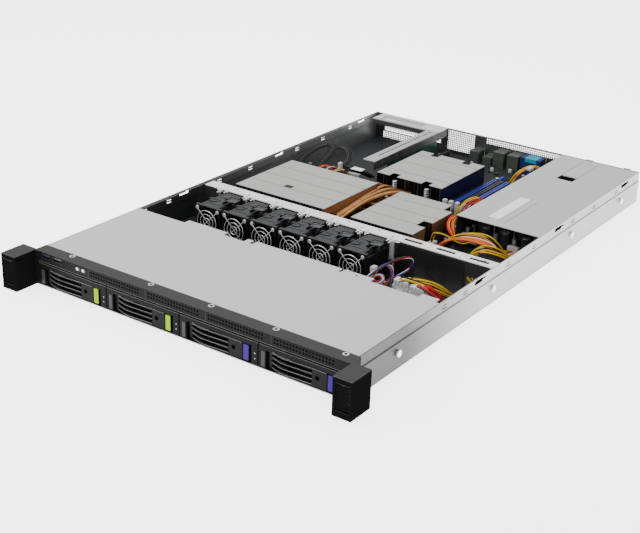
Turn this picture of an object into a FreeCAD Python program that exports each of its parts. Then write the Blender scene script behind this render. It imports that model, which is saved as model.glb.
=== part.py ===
import FreeCAD, Part
import math
import os
import re
import Sketcher
from FreeCAD import Placement, Rotation, Vector

# 1u rack server, open on top.
# Millimetres. X points right as seen from the front, Y to the rear, Z up.
# The origin is on the underside, on the centreline, in the plane of the rack posts.

doc = FreeCAD.newDocument("RackServer")

# Driving sizes, each with its meaning.
SIZES = [
    # whole chassis
    ("body_width", 438, "over the side walls"),
    ("body_height", 43.5, "underside to top edge"),
    ("body_length", 717.5, "bezel face to rear panel face"),
    ("bezel_lead", 3, "bezel face in front of the rack posts"),
    ("plate", 1.2, "steel of the floor, walls and rear panel"),
    ("fold_height", 30.1, "height of the step along each side wall"),
    ("strip_step", 1.2, "inward step of the wall above the fold"),
    ("pan_lead", 2, "floor edge in front of the rack posts"),
    # wall slots and studs
    ("hook_length", 9, "lanced hook along the wall"),
    ("hook_height", 4.6, "lanced hook, height"),
    ("hook_line", 1.3, "width of the lanced line"),
    ("hook_level", 36, "centre height of the lanced hooks"),
    ("key_length", 12, "narrow part of a cover slot"),
    ("key_height", 2.6, "height of the narrow part"),
    ("key_mouth", 6, "length of the wide mouth of a cover slot"),
    ("key_level", 38.6, "centre height of the cover slots"),
    ("stud_level", 19.7, "height of the rail studs"),
    ("stud_head_radius", 4, "rail stud head"),
    ("stud_neck_width", 4.4, "square neck of a rail stud"),
    ("stud_neck", 1.6, "neck length, wall to head"),
    ("stud_head", 1.4, "head thickness"),
    # rack ears
    ("ear_width", 22.3, "rack ear, out from the side wall"),
    ("ear_depth", 33.7, "ear face in front of the rack posts"),
    ("ear_height", 43.1, "height of an ear"),
    ("ear_lift", 0.3, "ear bottom above the underside"),
    ("ear_edge", 2.4, "rim beside the ear panel"),
    ("ear_panel_width", 16.2, "inset panel of an ear"),
    ("ear_panel_bottom", 9, "panel bottom above the underside"),
    ("ear_panel_top", 35.4, "panel top above the underside"),
    ("ear_panel_inset", 0.8, "depth of the inset panel"),
    ("ear_groove", 1.8, "groove above and below the panel"),
    ("ear_groove_depth", 3, "depth of those grooves"),
    ("ear_slot_length", 9, "slot in the inner side of an ear"),
    ("ear_slot_width", 1.4, "slot in the inner side of an ear"),
    ("ear_slot_drop", 4.6, "that slot below the ear's top"),
    ("ear_shell", 2.4, "wall of the hollow ear"),
    ("ear_tongue", 1.6, "thickness of the tongue behind an ear"),
    ("ear_tongue_length", 12, "reach of that tongue along the bezel"),
    # bezel
    ("bezel_depth", 17.8, "front face to back edge"),
    ("bezel_floor", 31, "underside of the upper strip"),
    ("bezel_skin", 1.6, "wall of the bezel moulding"),
    ("post_width", 5.5, "end posts beside the trays"),
    ("seat_radius", 3.7, "countersunk seat of a cover screw"),
    ("seat_depth", 1.1, "depth of that seat"),
    ("screw_radius", 3.4, "cover screw head"),
    ("screw_bore", 1.5, "socket in a cover screw"),
    ("screw_lead", 4.5, "screw line in front of the bezel back edge"),
    # front ports and buttons
    ("usb_left", -202.2, "centre of the left front port"),
    ("usb_right", -183.6, "centre of the right front port"),
    ("usb_level", 38.7, "centre height of the front ports"),
    ("usb_width", 14.4, "shell of a front port"),
    ("usb_height", 5.6, "shell of a front port"),
    ("usb_length", 13.5, "shell of a front port"),
    ("usb_shell", 0.5, "shell wall"),
    ("tongue_width", 10.8, "contact tongue of a front port"),
    ("tongue_thickness", 1.7, "contact tongue of a front port"),
    ("button_left", -150.4, "centre of the left button"),
    ("button_right", -141.6, "centre of the right button"),
    ("button_level", 38.5, "height of the buttons"),
    ("button_width", 5.8, "button cap"),
    ("button_height", 3.6, "button cap"),
    ("button_gap", 0.25, "clearance round a button"),
    ("button_proud", 0.9, "button standing out of the bezel"),
    ("button_stem", 4, "length of a button inside the bezel"),
    ("pinhole_x", -160.7, "reset pinhole"),
    ("pinhole_radius", 0.8, "reset pinhole"),
    # drive bays
    ("bay_pitch", 106.5, "bay to bay"),
    ("bay_back", 168, "rear edge of the drive cage"),
    ("shelf_level", 30, "underside of the shelf over the bays"),
    ("shelf_plate", 1, "shelf thickness"),
    ("cover_tab", 9, "reach of the tabs of the cage cover"),
    ("cover_hole_x", 108, "hole in a cover tab, across"),
    ("cover_hole_back", 3.5, "that hole behind the cover"),
    ("cover_hole_radius", 1.8, "that hole"),
    ("divider", 0.8, "sheet between two bays"),
    ("slide_gap", 0.5, "tray to divider on each side"),
    ("tray_lift", 0.4, "tray above the floor"),
    ("tray_top", 29.2, "top of a tray face"),
    ("tray_gap", 0.35, "tray face to bay boundary"),
    ("moulding_depth", 10, "back of the tray face moulding"),
    ("recess_left", 9.2, "lever recess, left side"),
    ("recess_right", 97, "lever recess, right side"),
    ("recess_bottom", 2.8, "lever recess, bottom"),
    ("recess_top", 23.4, "lever recess, top"),
    ("recess_back", 5, "lever recess, back"),
    ("rail_wall", 1.1, "side rail and floor of a tray"),
    ("rail_height", 18, "height of the side rails"),
    ("tray_back", 160, "rear end of a tray"),
    ("window_first", 12, "first floor window behind the moulding"),
    ("window_length", 56, "floor window of a tray"),
    ("window_pitch", 70, "window to window"),
    ("window_margin", 4, "window inside the recess sides"),
    ("vent_left", 16, "first air window behind the lever"),
    ("vent_width", 8, "width of an air window"),
    ("vent_pitch", 10.4, "air window to air window"),
    ("vent_bottom", 5.4, "air window, bottom"),
    ("vent_top", 20.8, "air window, top"),
    ("lamp_x", 101.5, "status lamps, across the tray"),
    ("lamp_low", 9.6, "lower lamp"),
    ("lamp_high", 15.5, "upper lamp"),
    ("lamp_size", 1.8, "square lamp window"),
    ("lamp_depth", 2, "lamp window"),
    # tray lever
    ("hinge_x", 12, "lever hinge, across the tray"),
    ("hinge_y", 2.1, "lever hinge, along the tray"),
    ("hinge_radius", 2.4, "hinge barrel of the lever"),
    ("pin_radius", 1.1, "hinge pin of the tray"),
    ("pin_gap", 0.06, "running clearance of the pin"),
    ("lever_end", 85, "free end of the lever"),
    ("lever_back", 4, "back of the lever"),
    ("lever_gap", 0.35, "lever to recess, top and bottom"),
    ("louvre_left", 15.4, "louvres, left end"),
    ("louvre_right", 67, "louvres, right end"),
    ("louvre_bow", 250, "radius of the bowed louvre edge"),
    ("louvre_thickness", 2.2, "one louvre"),
    ("lock_x", 73.5, "round lock in the lever"),
    ("lock_level", 13.6, "height of the lock"),
    ("lock_radius", 2.7, "lock recess"),
    ("lock_depth", 2.6, "lock recess"),
    # tray latch
    ("latch_left", 86, "left side of the latch"),
    ("latch_width", 8.4, "latch tab"),
    ("latch_bottom", 4.4, "latch tab, bottom"),
    ("latch_top", 22, "latch tab, top"),
    ("latch_proud", 0.4, "latch in front of the tray face"),
    ("latch_round", 1.4, "rounded corners of the latch"),
    ("latch_foot_inset", 1, "foot inside the tab's outline"),
    ("latch_foot_front", 1, "front of the foot"),
    ("foot_gap", 0.06, "running clearance of the foot"),
    # backplane
    ("backplane_y", 171, "front face of the drive backplane"),
    ("board", 1.6, "thickness of a circuit board"),
    ("backplane_top", 40, "top edge of the backplane"),
    ("backplane_margin", 6, "backplane end to side wall"),
    ("socket_width", 33, "drive socket"),
    ("socket_height", 7, "drive socket"),
    ("socket_depth", 9, "drive socket"),
    ("socket_offset", 18, "drive socket from the bay boundary"),
    ("socket_level", 5, "bottom of the drive sockets"),
    ("socket_wall", 1.5, "wall at the ends of a drive socket"),
    ("socket_lip", 2.4, "wall over and under its slit"),
    ("socket_floor", 2.5, "closed rear of its slit"),
    ("air_first", 14, "first air cut-out from the bay boundary"),
    ("air_width", 21, "air cut-out of the backplane"),
    ("air_pitch", 27, "cut-out to cut-out"),
    ("air_sill", 4, "cut-outs above the drive sockets"),
    ("air_head", 8, "cut-outs below the top edge"),
    ("plug_width", 21, "upright power plug"),
    ("plug_depth", 10, "upright power plug"),
    # fans
    ("fan_size", 40, "square of a fan"),
    ("fan_length", 56, "length of a fan"),
    ("fan_front", 230.5, "front face of the fans"),
    ("fan_pitch", 43.9, "fan to fan"),
    ("fan_first", -158.1, "centre of the first fan"),
    ("fan_bore", 19, "radius of the air duct"),
    ("flange", 5, "flange at each end of a fan"),
    ("middle_flange", 5, "joint between the two halves of a fan"),
    ("corner_cut", 5.6, "corner cleared between the flanges"),
    ("hub_cup", 8.6, "radius of the fixed motor cup"),
    ("cup_length", 5, "length of the fixed motor cup"),
    ("strut", 1.8, "width of a strut"),
    ("strut_root", 0.4, "strut end inside the duct wall"),
    ("spindle_radius", 1.5, "spindle of the motor cup"),
    ("spindle_length", 6, "spindle inside the rotor hub"),
    ("spindle_gap", 0.06, "running clearance of the spindle"),
    ("spindle_end", 0.5, "bore deeper than the spindle"),
    ("rotor_radius", 18.2, "blade tip radius"),
    ("hub_radius", 9.2, "rotor hub"),
    ("hub_length", 19, "rotor hub"),
    ("rotor_gap", 1, "rotor hub to motor cup"),
    ("blade_root", 0.6, "blade root inside the hub, share of its radius"),
    ("blade_thickness", 1.1, "blade thickness"),
    ("blade_chord", 15, "blade chord"),
    ("blade_pitch", 42, "blade angle"),
    ("blade_count", 5, "blades on a rotor"),
    ("guard_wire", 1, "wire of a finger guard"),
    ("guard_ring", 14, "ring of a finger guard"),
    ("guard_eye", 22.6, "screw eye from the fan centre"),
    ("guard_eye_size", 5.4, "screw eye"),
    # fan wall
    ("wall_front", 287.3, "front face of the fan wall"),
    ("wall_depth", 17.5, "depth of its top flange"),
    ("wall_left", -210, "left end of the fan wall"),
    ("wall_turn", 81, "where the fan wall turns forward"),
    ("wall_leg", 12, "forward reach of the legs between fans"),
    ("wall_sheet", 1.2, "steel of the fan wall"),
    ("wall_lip", 6, "folded lip at the back of the flange"),
    ("outlet_radius", 18.4, "air hole behind a fan"),
    ("strip_slot_width", 6.5, "slots in the right part"),
    ("strip_slot_length", 25.5, "slots in the right part"),
    ("strip_slot_first", 105.5, "centre of the first slot"),
    ("strip_slot_pitch", 44.5, "slot to slot"),
    ("strip_slot_setback", 1, "slots behind the flange middle"),
    ("cable_way_left", 184, "cable passage in the fan wall"),
    ("cable_way_right", 214, "cable passage in the fan wall"),
    ("cable_way_top", 24, "cable passage in the fan wall"),
    ("baffle_gap", 4, "baffle from the wall turn"),
    ("baffle_length", 96, "baffle across the chassis"),
    ("baffle_drop", 3, "baffle below the top edge"),
    ("baffle_foot", 30, "forward reach of the baffle foot"),
    ("film", 0.6, "thickness of the baffle"),
    # motherboard and its cooler
    ("board_left", -206, "left edge of the motherboard"),
    ("board_right", 97, "right edge of the motherboard"),
    ("board_front", 325, "front edge of the motherboard"),
    ("board_back", 706, "rear edge of the motherboard"),
    ("standoff", 5, "height of the board studs"),
    ("standoff_radius", 3, "radius of the board studs"),
    ("stud_margin", 8, "board stud to board edge"),
    ("socket_frame_width", 60, "processor socket"),
    ("socket_frame_inset", 20, "processor socket inside the cooler"),
    ("socket_frame", 1.4, "processor socket above the board"),
    ("base_plate", 7, "copper base under the fins"),
    ("fin_top", 38, "top of the fins"),
    ("fin_cover", 0.8, "closed top over the fins"),
    ("fin", 0.8, "fin thickness"),
    ("fin_pitch", 5, "fin to fin"),
    ("stack_base", 2.4, "base of a remote fin stack"),
    ("cooler_left", -71, "processor cooler"),
    ("cooler_right", 32, "processor cooler"),
    ("cooler_front", 489, "processor cooler"),
    ("cooler_back", 609, "processor cooler"),
    ("notch_left", 20, "cooler notch from the left side"),
    ("notch_right", 32, "cooler notch from the right side"),
    ("notch", 12, "cooler notch, both ways"),
    ("left_stack_left", -190, "left fin stack"),
    ("left_stack_right", -46, "left fin stack"),
    ("left_stack_front", 326, "left fin stack"),
    ("left_stack_back", 452, "left fin stack"),
    ("right_stack_left", -4.5, "right fin stack"),
    ("right_stack_right", 86.5, "right fin stack"),
    ("right_stack_front", 325.5, "right fin stack"),
    ("right_stack_back", 444.5, "right fin stack"),
    ("stack_notch", 13, "depth of the notches of the right stack"),
    ("stack_notch_start", 30, "first notch behind the stack front"),
    ("stack_notch_length", 18.5, "first notch"),
    ("stack_notch_end", 21.5, "second notch, at the stack's back"),
    ("pipe_width", 6.6, "flattened heat pipe"),
    ("pipe_thickness", 4.2, "flattened heat pipe"),
    ("pipe_level", 12.6, "centre height of the heat pipes"),
    ("pipe_pitch", 7.4, "heat pipe to heat pipe"),
    ("pipe_bend", 12, "bend of the outer heat pipes"),
    ("pipe_spread", 16, "bend line inside a stack's end"),
    ("pipe_row", 25.6, "second pipe further inside a stack"),
    # memory sockets
    ("dimm_first", 42.5, "centre of the first memory socket"),
    ("dimm_pitch", 9.4, "socket to socket"),
    ("dimm_count", 6, "memory sockets"),
    ("dimm_width", 6.4, "memory socket"),
    ("dimm_height", 8, "memory socket above the board"),
    ("dimm_front", 484, "front end of the memory sockets"),
    ("dimm_length", 142, "memory socket"),
    ("dimm_slit", 1.5, "card slit"),
    ("dimm_slit_end", 3, "slit short of the socket ends"),
    ("dimm_slit_floor", 2, "slit above the board"),
    ("dimm_latch", 12, "latch above the socket"),
    ("dimm_latch_length", 6, "latch along the socket"),
    ("dimm_cheek", 0.6, "cheek beside a latch"),
    ("latch_gap", 0.12, "latch clearance between the cheeks"),
    ("latch_heel", 0.7, "latch below its hinge"),
    ("latch_pin_level", 3.4, "latch hinge above the board"),
    # rear ports
    ("port_depth", 22, "ports behind the rear panel"),
    ("port_shell", 0.8, "port shell wall"),
    ("port_back", 5, "closed rear of a port"),
    ("port_gap", 0.3, "port to panel opening"),
    # expansion riser
    ("riser_left", -108, "left edge of the bracket arm"),
    ("riser_right", -89, "right edge of the bracket arm"),
    ("riser_front", 509, "front end of the bracket arm"),
    ("riser_flange", 13, "height of the bracket's side flange"),
    ("riser_hole_first", 22, "first hole from the bracket front"),
    ("riser_hole_pitch", 44, "hole to hole"),
    ("riser_hole_radius", 2.2, "hole in the side flange"),
    ("long_slot_inset", 8, "long slot from the arm's left edge"),
    ("long_slot_width", 2.4, "long slot"),
    ("long_slot_start", 26, "long slot from the bracket front"),
    ("cross_lip", 8, "lip of the cross arm"),
    ("cross_front", 681, "front edge of the cross arm"),
    ("cross_left", -205, "left end of the cross arm"),
    ("riser_board_front", 548, "riser board"),
    ("riser_board_back", 684, "riser board"),
    ("riser_slot_length", 90, "expansion socket"),
    ("riser_slot_height", 7.5, "expansion socket"),
    ("riser_slot_depth", 11, "expansion socket"),
    ("card_slit", 1.8, "slit of the expansion socket"),
    ("card_slit_end", 2, "slit short of the socket ends"),
    ("card_slit_floor", 3, "closed side of the slit"),
    ("card_bottom", 17, "expansion opening, bottom"),
    ("card_top", 36, "expansion opening, top"),
    ("card_left", 3, "opening from the left end of the cross arm"),
    ("card_right", 8, "opening past the arm's left edge"),
    # power supplies
    ("cage_left", 101, "left wall of the power cage"),
    ("cage_front", 408, "front edge of the power cage"),
    ("cage_drop", 0.8, "cage top under the wall edge"),
    ("module_width", 54.5, "power module"),
    ("module_pitch", 56.4, "module to module"),
    ("module_gap", 0.9, "module to cage and floor"),
    ("module_height", 39, "power module"),
    ("module_front", 512, "inner end of the modules"),
    ("module_proud", 1.5, "module face behind the rear panel"),
    ("handle_reach", 18, "handle behind the module face"),
    ("handle_strap", 2.8, "handle thickness"),
    ("handle_width", 9, "handle width"),
    ("handle_bottom", 8, "handle, bottom"),
    ("handle_top", 39.5, "handle, top"),
    ("handle_offset", 7.5, "handle from the module's centre"),
    ("handle_round", 6, "outer bend of the handle"),
    ("inlet_width", 24, "mains inlet cavity"),
    ("inlet_height", 17, "mains inlet cavity"),
    ("inlet_depth", 14, "mains inlet cavity"),
    ("inlet_left", 4, "inlet from the module side"),
    ("inlet_bottom", 18, "inlet above the module bottom"),
    ("module_fan", 16, "radius of the module's air hole"),
    ("fan_rim", 4, "air hole from the module side"),
    ("fan_depth", 4, "depth of the air hole"),
    ("motor_radius", 6, "motor in the air hole"),
    ("motor_length", 3, "motor in the air hole"),
    ("release_width", 8, "release tab"),
    ("release_height", 14, "release tab"),
    ("release_reach", 9, "release tab"),
    ("release_left", 3, "release tab from the module side"),
    ("release_bottom", 3.5, "release tab above the floor"),
    ("release_gap", 0.3, "release tab to module face"),
    ("release_fit", 0.08, "running clearance of the tab's tongue"),
    ("release_travel", 2, "sideways travel of the release tab"),
    ("release_stem", 5, "tongue of the tab inside the module"),
    ("release_inset", 2, "tongue inside the tab's outline"),
    ("lid_window_left", 137.3, "window in the cage top"),
    ("lid_window_width", 24, "window in the cage top"),
    ("lid_window_front", 617, "window in the cage top"),
    ("lid_window_length", 17, "window in the cage top"),
    ("lid_tongue", 72, "length of the tongue behind the window"),
    ("lid_line", 0.8, "width of the cut lines"),
    ("tray_line_front", 421, "cut lines beside the label tray"),
    ("tray_line_length", 94, "cut lines beside the label tray"),
    # power board
    ("power_front", 413, "front edge of the power board"),
    ("power_back", 506, "rear edge of the power board"),
    ("power_lift", 4, "power board above the floor"),
    ("power_margin", 1, "power board from the cage wall"),
    ("power_right", 214, "right edge of the power board"),
    ("power_stud_margin", 10, "board stud from the board's edges"),
    ("sink_first", 20, "first heat sink from the board's left edge"),
    ("sink_pitch", 28, "sink to sink"),
    ("sink_width", 5, "heat sink"),
    ("sink_length", 58, "heat sink"),
    ("sink_height", 26, "heat sink"),
    ("sink_front", 17, "heat sinks behind the board front"),
    ("capacitor_radius", 6, "capacitor"),
    ("capacitor_height", 24, "capacitor"),
    ("capacitor_y", 8, "capacitors behind the board front"),
    ("coil", 20, "coil on the power board"),
    ("coil_height", 18, "coil on the power board"),
    ("coil_inset", 6, "coil from the board's right and rear edges"),
    # wiring
    ("lead_radius", 1.8, "bunched leads"),
    ("thin_lead_radius", 1.4, "single leads"),
    ("header_depth", 6, "lead header on the power board, along"),
    ("header_height", 11, "lead header on the power board"),
    ("left_header", 117.2, "centre of the left header on the power board"),
    ("left_header_width", 22, "left header on the power board"),
    ("middle_header", 179.2, "centre of the middle header on the power board"),
    ("middle_header_width", 15, "middle header on the power board"),
    ("right_header", 206.8, "centre of the right header on the power board"),
    ("right_header_width", 13, "right header on the power board"),
    ("main_lead_pitch", 3.9, "main leads side by side"),
    ("lead_low", 3, "lower row of leads above the power board"),
    ("lead_high", 7.8, "upper row of leads above the power board"),
    ("board_header", 8.5, "lead header beside the right fin stack, across"),
    ("board_header_gap", 1.5, "that header to the stack"),
    ("board_header_height", 10, "that header above the board"),
]

ALIASES = {name for name, _, _ in SIZES}

sheet = doc.addObject("Spreadsheet::Sheet", "Sizes")
for row, (name, number, note) in enumerate(SIZES, start=1):
    sheet.set(f"A{row}", name)
    sheet.set(f"B{row}", str(number))
    sheet.set(f"C{row}", note)
    sheet.setAlias(f"B{row}", name)
doc.recompute()

nodes = []


def formula(text):
    """Turn words of the size list into references to the sheet."""

    def refer(word):
        return "Sizes." + word.group() if word.group() in ALIASES else word.group()

    return re.sub(r"[A-Za-z_][A-Za-z_0-9]*", refer, str(text))


def value(text):
    """The present number behind an expression."""
    return float(sheet.evalExpression(formula(text)))


def bind(piece, **terms):
    """Tie properties of a piece to expressions."""
    for name, text in terms.items():
        piece.setExpression(name, formula(text))
    return piece


def at(piece, x=0, y=0, z=0):
    """Tie the base of a piece's placement to expressions."""
    for axis, text in (("x", x), ("y", y), ("z", z)):
        piece.setExpression("Placement.Base." + axis, formula(text))
    return piece


def box(name, x, y, z):
    """A block between three pairs of limits."""
    piece = doc.addObject("Part::Box", name)
    bind(
        piece,
        Length=f"({x[1]}) - ({x[0]})",
        Width=f"({y[1]}) - ({y[0]})",
        Height=f"({z[1]}) - ({z[0]})",
    )
    return at(piece, x[0], y[0], z[0])


TURNS = {
    "x": Rotation(Vector(0, 1, 0), 90),
    "y": Rotation(Vector(1, 0, 0), -90),
    "z": Rotation(),
}


def rod(name, axis, centre, radius, length):
    """A cylinder from its base centre along an axis."""
    piece = doc.addObject("Part::Cylinder", name)
    piece.Placement = Placement(Vector(), TURNS[axis])
    bind(piece, Radius=radius, Height=length)
    return at(piece, *centre)


def hexagon(name, centre, radius, length):
    """An upright six-sided post."""
    piece = doc.addObject("Part::Prism", name)
    piece.Polygon = 6
    bind(piece, Circumradius=radius, Height=length)
    return at(piece, *centre)


def many_sided(name, centre, radius, length):
    """A sixteen-sided bar along Y."""
    piece = doc.addObject("Part::Prism", name)
    piece.Polygon = 16
    piece.Placement = Placement(Vector(), TURNS["y"])
    bind(piece, Circumradius=radius, Height=length)
    return at(piece, *centre)


def fuse(name, pieces):
    """One solid from touching pieces."""
    joined = doc.addObject("Part::MultiFuse", name)
    joined.Shapes = pieces
    joined.Refine = True
    return joined


def group(name, pieces):
    """Separate solids kept together."""
    kept = doc.addObject("Part::Compound", name)
    kept.Links = pieces
    return kept


def cut(name, base, tools):
    """A piece less its tools."""
    tool = tools[0] if len(tools) == 1 else fuse(name + "_tools", tools)
    piece = doc.addObject("Part::Cut", name)
    piece.Base = base
    piece.Tool = tool
    piece.Refine = True
    return piece


def mirrored(name, source):
    """The same piece on the other side of the centreline."""
    piece = doc.addObject("Part::Mirroring", name)
    piece.Source = source
    piece.Normal = Vector(1, 0, 0)
    return piece


def node(piece, label=None):
    """Keep a finished piece under its own name."""
    if label:
        piece.Label = label
    nodes.append(piece)
    return piece


def origin_of(body, role):
    """A plane or axis of a body's own origin."""
    return next(item for item in body.Origin.OriginFeatures if item.Role == role)


def outline(body, name, role, points, lift=0, arcs=None):
    """A closed sketch tied to the sheet. An edge named in arcs bulges outward with that radius."""
    arcs = arcs or {}
    sketch = body.newObject("Sketcher::SketchObject", name)
    sketch.AttachmentSupport = [(origin_of(body, role), "")]
    sketch.MapMode = "FlatFace"
    sketch.setExpression("AttachmentOffset.Base.z", formula(lift))
    corners = [Vector(value(u), value(v), 0) for u, v in points]
    count = len(corners)
    for index, (start, end) in enumerate(zip(corners, corners[1:] + corners[:1])):
        if index in arcs:
            radius = value(arcs[index])
            chord = end - start
            rise = radius - (radius**2 - (chord.Length / 2) ** 2) ** 0.5
            outward = Vector(chord.y, -chord.x, 0).normalize()
            middle = (start + end) / 2 + outward * rise
            sketch.addGeometry(Part.Arc(start, middle, end), False)
        else:
            sketch.addGeometry(Part.LineSegment(start, end), False)
    for index in range(count):
        following = (index + 1) % count
        sketch.addConstraint(Sketcher.Constraint("Coincident", index, 2, following, 1))
    for index, point in enumerate(points):
        for kind, text in zip(("DistanceX", "DistanceY"), point):
            rule = Sketcher.Constraint(kind, -1, 1, index, 1, value(text))
            number = sketch.addConstraint(rule)
            sketch.setExpression(f"Constraints[{number}]", formula(text))
    for index, text in arcs.items():
        number = sketch.addConstraint(Sketcher.Constraint("Radius", index, value(text)))
        sketch.setExpression(f"Constraints[{number}]", formula(text))
    return sketch


def ring(body, name, role, centre, radius, lift=0):
    """A sketched circle tied to the sheet."""
    sketch = body.newObject("Sketcher::SketchObject", name)
    sketch.AttachmentSupport = [(origin_of(body, role), "")]
    sketch.MapMode = "FlatFace"
    sketch.setExpression("AttachmentOffset.Base.z", formula(lift))
    middle = Vector(value(centre[0]), value(centre[1]), 0)
    sketch.addGeometry(Part.Circle(middle, Vector(0, 0, 1), value(radius)), False)
    rules = (
        (Sketcher.Constraint("DistanceX", -1, 1, 0, 3, middle.x), centre[0]),
        (Sketcher.Constraint("DistanceY", -1, 1, 0, 3, middle.y), centre[1]),
        (Sketcher.Constraint("Radius", 0, value(radius)), radius),
    )
    for rule, text in rules:
        number = sketch.addConstraint(rule)
        sketch.setExpression(f"Constraints[{number}]", formula(text))
    return sketch


def pad(body, name, sketch, length, back=False):
    """Raise a sketch into a solid."""
    feature = body.newObject("PartDesign::Pad", name)
    feature.Profile = sketch
    feature.Reversed = back
    bind(feature, Length=length)
    body.Tip = feature
    return feature


def pocket(body, name, sketch, length, back=False):
    """Sink a sketch into the solid."""
    feature = body.newObject("PartDesign::Pocket", name)
    feature.Profile = sketch
    feature.Reversed = back
    bind(feature, Length=length)
    body.Tip = feature
    return feature


def row(body, name, feature, role, length, count):
    """Repeat a feature along an axis of the body."""
    pattern = body.newObject("PartDesign::LinearPattern", name)
    pattern.Originals = [feature]
    pattern.Direction = (origin_of(body, role), [""])
    bind(pattern, Length=length, Occurrences=count)
    body.Tip = pattern
    return pattern


def body_named(name):
    """A new body for one sub-part."""
    return doc.addObject("PartDesign::Body", name)


# Shared places worked out from the driving sizes.
HALF = "body_width / 2"
REAR = "body_length - bezel_lead"
FACE = "-bezel_lead"
BEZEL_BACK = "bezel_depth - bezel_lead"
STRIP_OUT = f"{HALF} - strip_step"
STRIP_IN = f"{STRIP_OUT} - plate"
WALL_IN = f"{HALF} - plate"
BOARD_BOTTOM = "plate + standoff"
BOARD_TOP = f"{BOARD_BOTTOM} + board"
FAN_MIDDLE = "plate + fan_size / 2"
TRAY_BOTTOM = "plate + tray_lift"


def floor_pan():
    """Flat floor with raised studs under the motherboard."""
    floor = box("floor_sheet", (f"-{HALF}", HALF), ("-pan_lead", REAR), (0, "plate"))
    studs = []
    for across in range(3):
        for along in range(4):
            x = f"board_left + stud_margin + (board_right - board_left - 2 * stud_margin) * {across} / 2"
            y = f"board_front + stud_margin + (board_back - board_front - 2 * stud_margin) * {along} / 3"
            studs.append(
                hexagon(f"board_stud_{across}{along}", (x, y, "plate"), "standoff_radius", "standoff")
            )
    node(fuse("floor_pan", [floor] + studs))


# Lanced hooks, cover slots and rail studs along the side walls.
HOOKS = (178, 224, 325, 392, 500.5, 565.3, 637.5)
KEYS = (255.7, 460, 669.7)
STUDS = (83, 286, 495, 651)


def side_walls():
    """Joggled side walls with lanced hooks and cover slots along the upper strip."""
    body = body_named("right_wall_body")
    profile = [
        (f"-({HALF})", "plate"),
        (f"-({WALL_IN})", "plate"),
        (f"-({WALL_IN})", "fold_height - plate"),
        (f"-({STRIP_IN})", "fold_height"),
        (f"-({STRIP_IN})", "body_height"),
        (f"-({STRIP_OUT})", "body_height"),
        (f"-({STRIP_OUT})", "fold_height + plate"),
        (f"-({HALF})", "fold_height"),
    ]
    sheet_line = outline(body, "right_wall_line", "XZ_Plane", profile, lift=f"-({REAR})")
    pad(body, "right_wall_sheet", sheet_line, f"{REAR} - ({BEZEL_BACK})")
    tools = []
    span = (f"-({STRIP_OUT}) - 1", f"-({STRIP_IN}) + 1")
    for number, y in enumerate(HOOKS):
        start, end = f"{y} - hook_length / 2", f"{y} + hook_length / 2"
        low, high = "hook_level - hook_height / 2", "hook_level + hook_height / 2"
        tools.append(box(f"hook_low_{number}", span, (start, end), (low, f"{low} + hook_line")))
        tools.append(box(f"hook_high_{number}", span, (start, end), (f"{high} - hook_line", high)))
        tools.append(box(f"hook_end_{number}", span, (start, f"{start} + hook_line"), (low, high)))
    for number, y in enumerate(KEYS):
        level = ("key_level - key_height / 2", "key_level + key_height / 2")
        mouth = ("key_level - key_height / 2", "key_level + key_height")
        tools.append(box(f"key_slot_{number}", span, (f"{y} - key_length", y), level))
        tools.append(box(f"key_mouth_{number}", span, (y, f"{y} + key_mouth"), mouth))
    left = node(cut("left_side_wall", body, [group("left_wall_tools", tools)]))
    node(mirrored("right_side_wall", left))


def rail_studs():
    """Headed studs that carry the slide rails."""
    studs = []
    for number, y in enumerate(STUDS):
        for side, sign in (("left", "-"), ("right", "")):
            reach = ("-stud_neck_width / 2", "stud_neck_width / 2")
            neck = box(f"{side}_neck_{number}", (0, "stud_neck"), reach, reach)
            head = rod(f"{side}_head_{number}", "x", ("stud_neck", 0, 0), "stud_head_radius", "stud_head")
            stud = fuse(f"{side}_stud_{number}", [neck, head])
            if sign:
                stud.Placement = Placement(Vector(), Rotation(Vector(0, 0, 1), 180))
            at(stud, f"{sign}({HALF})", y, "stud_level")
            studs.append(stud)
    node(group("rail_studs", studs))


# Rear ports: name, centre across, width, height above the board, sockets as (bottom, height) pairs.
PORTS = (
    ("usb_stack", -31, 15, 16.5, ((1.6, 5.6), (9.2, 5.6))),
    ("small_port", -9, 14, 12, ((2, 8),)),
    ("lan_left", 10, 17.5, 23.2, ((1.4, 5), (7.4, 5), (13.6, 8.4))),
    ("lan_right", 33, 17.5, 23.2, ((1.4, 5), (7.4, 5), (13.6, 8.4))),
    ("screen_stack", 61.5, 31, 25, ((1.6, 9.4), (13.4, 9.4))),
)

MODULE_MIDDLES = tuple(
    f"cage_left + plate + module_gap + module_width / 2 + module_pitch * {number}"
    for number in range(2)
)
CAGE_TOP = "body_height - cage_drop"
MODULE_BOTTOM = "plate + module_gap"


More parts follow.
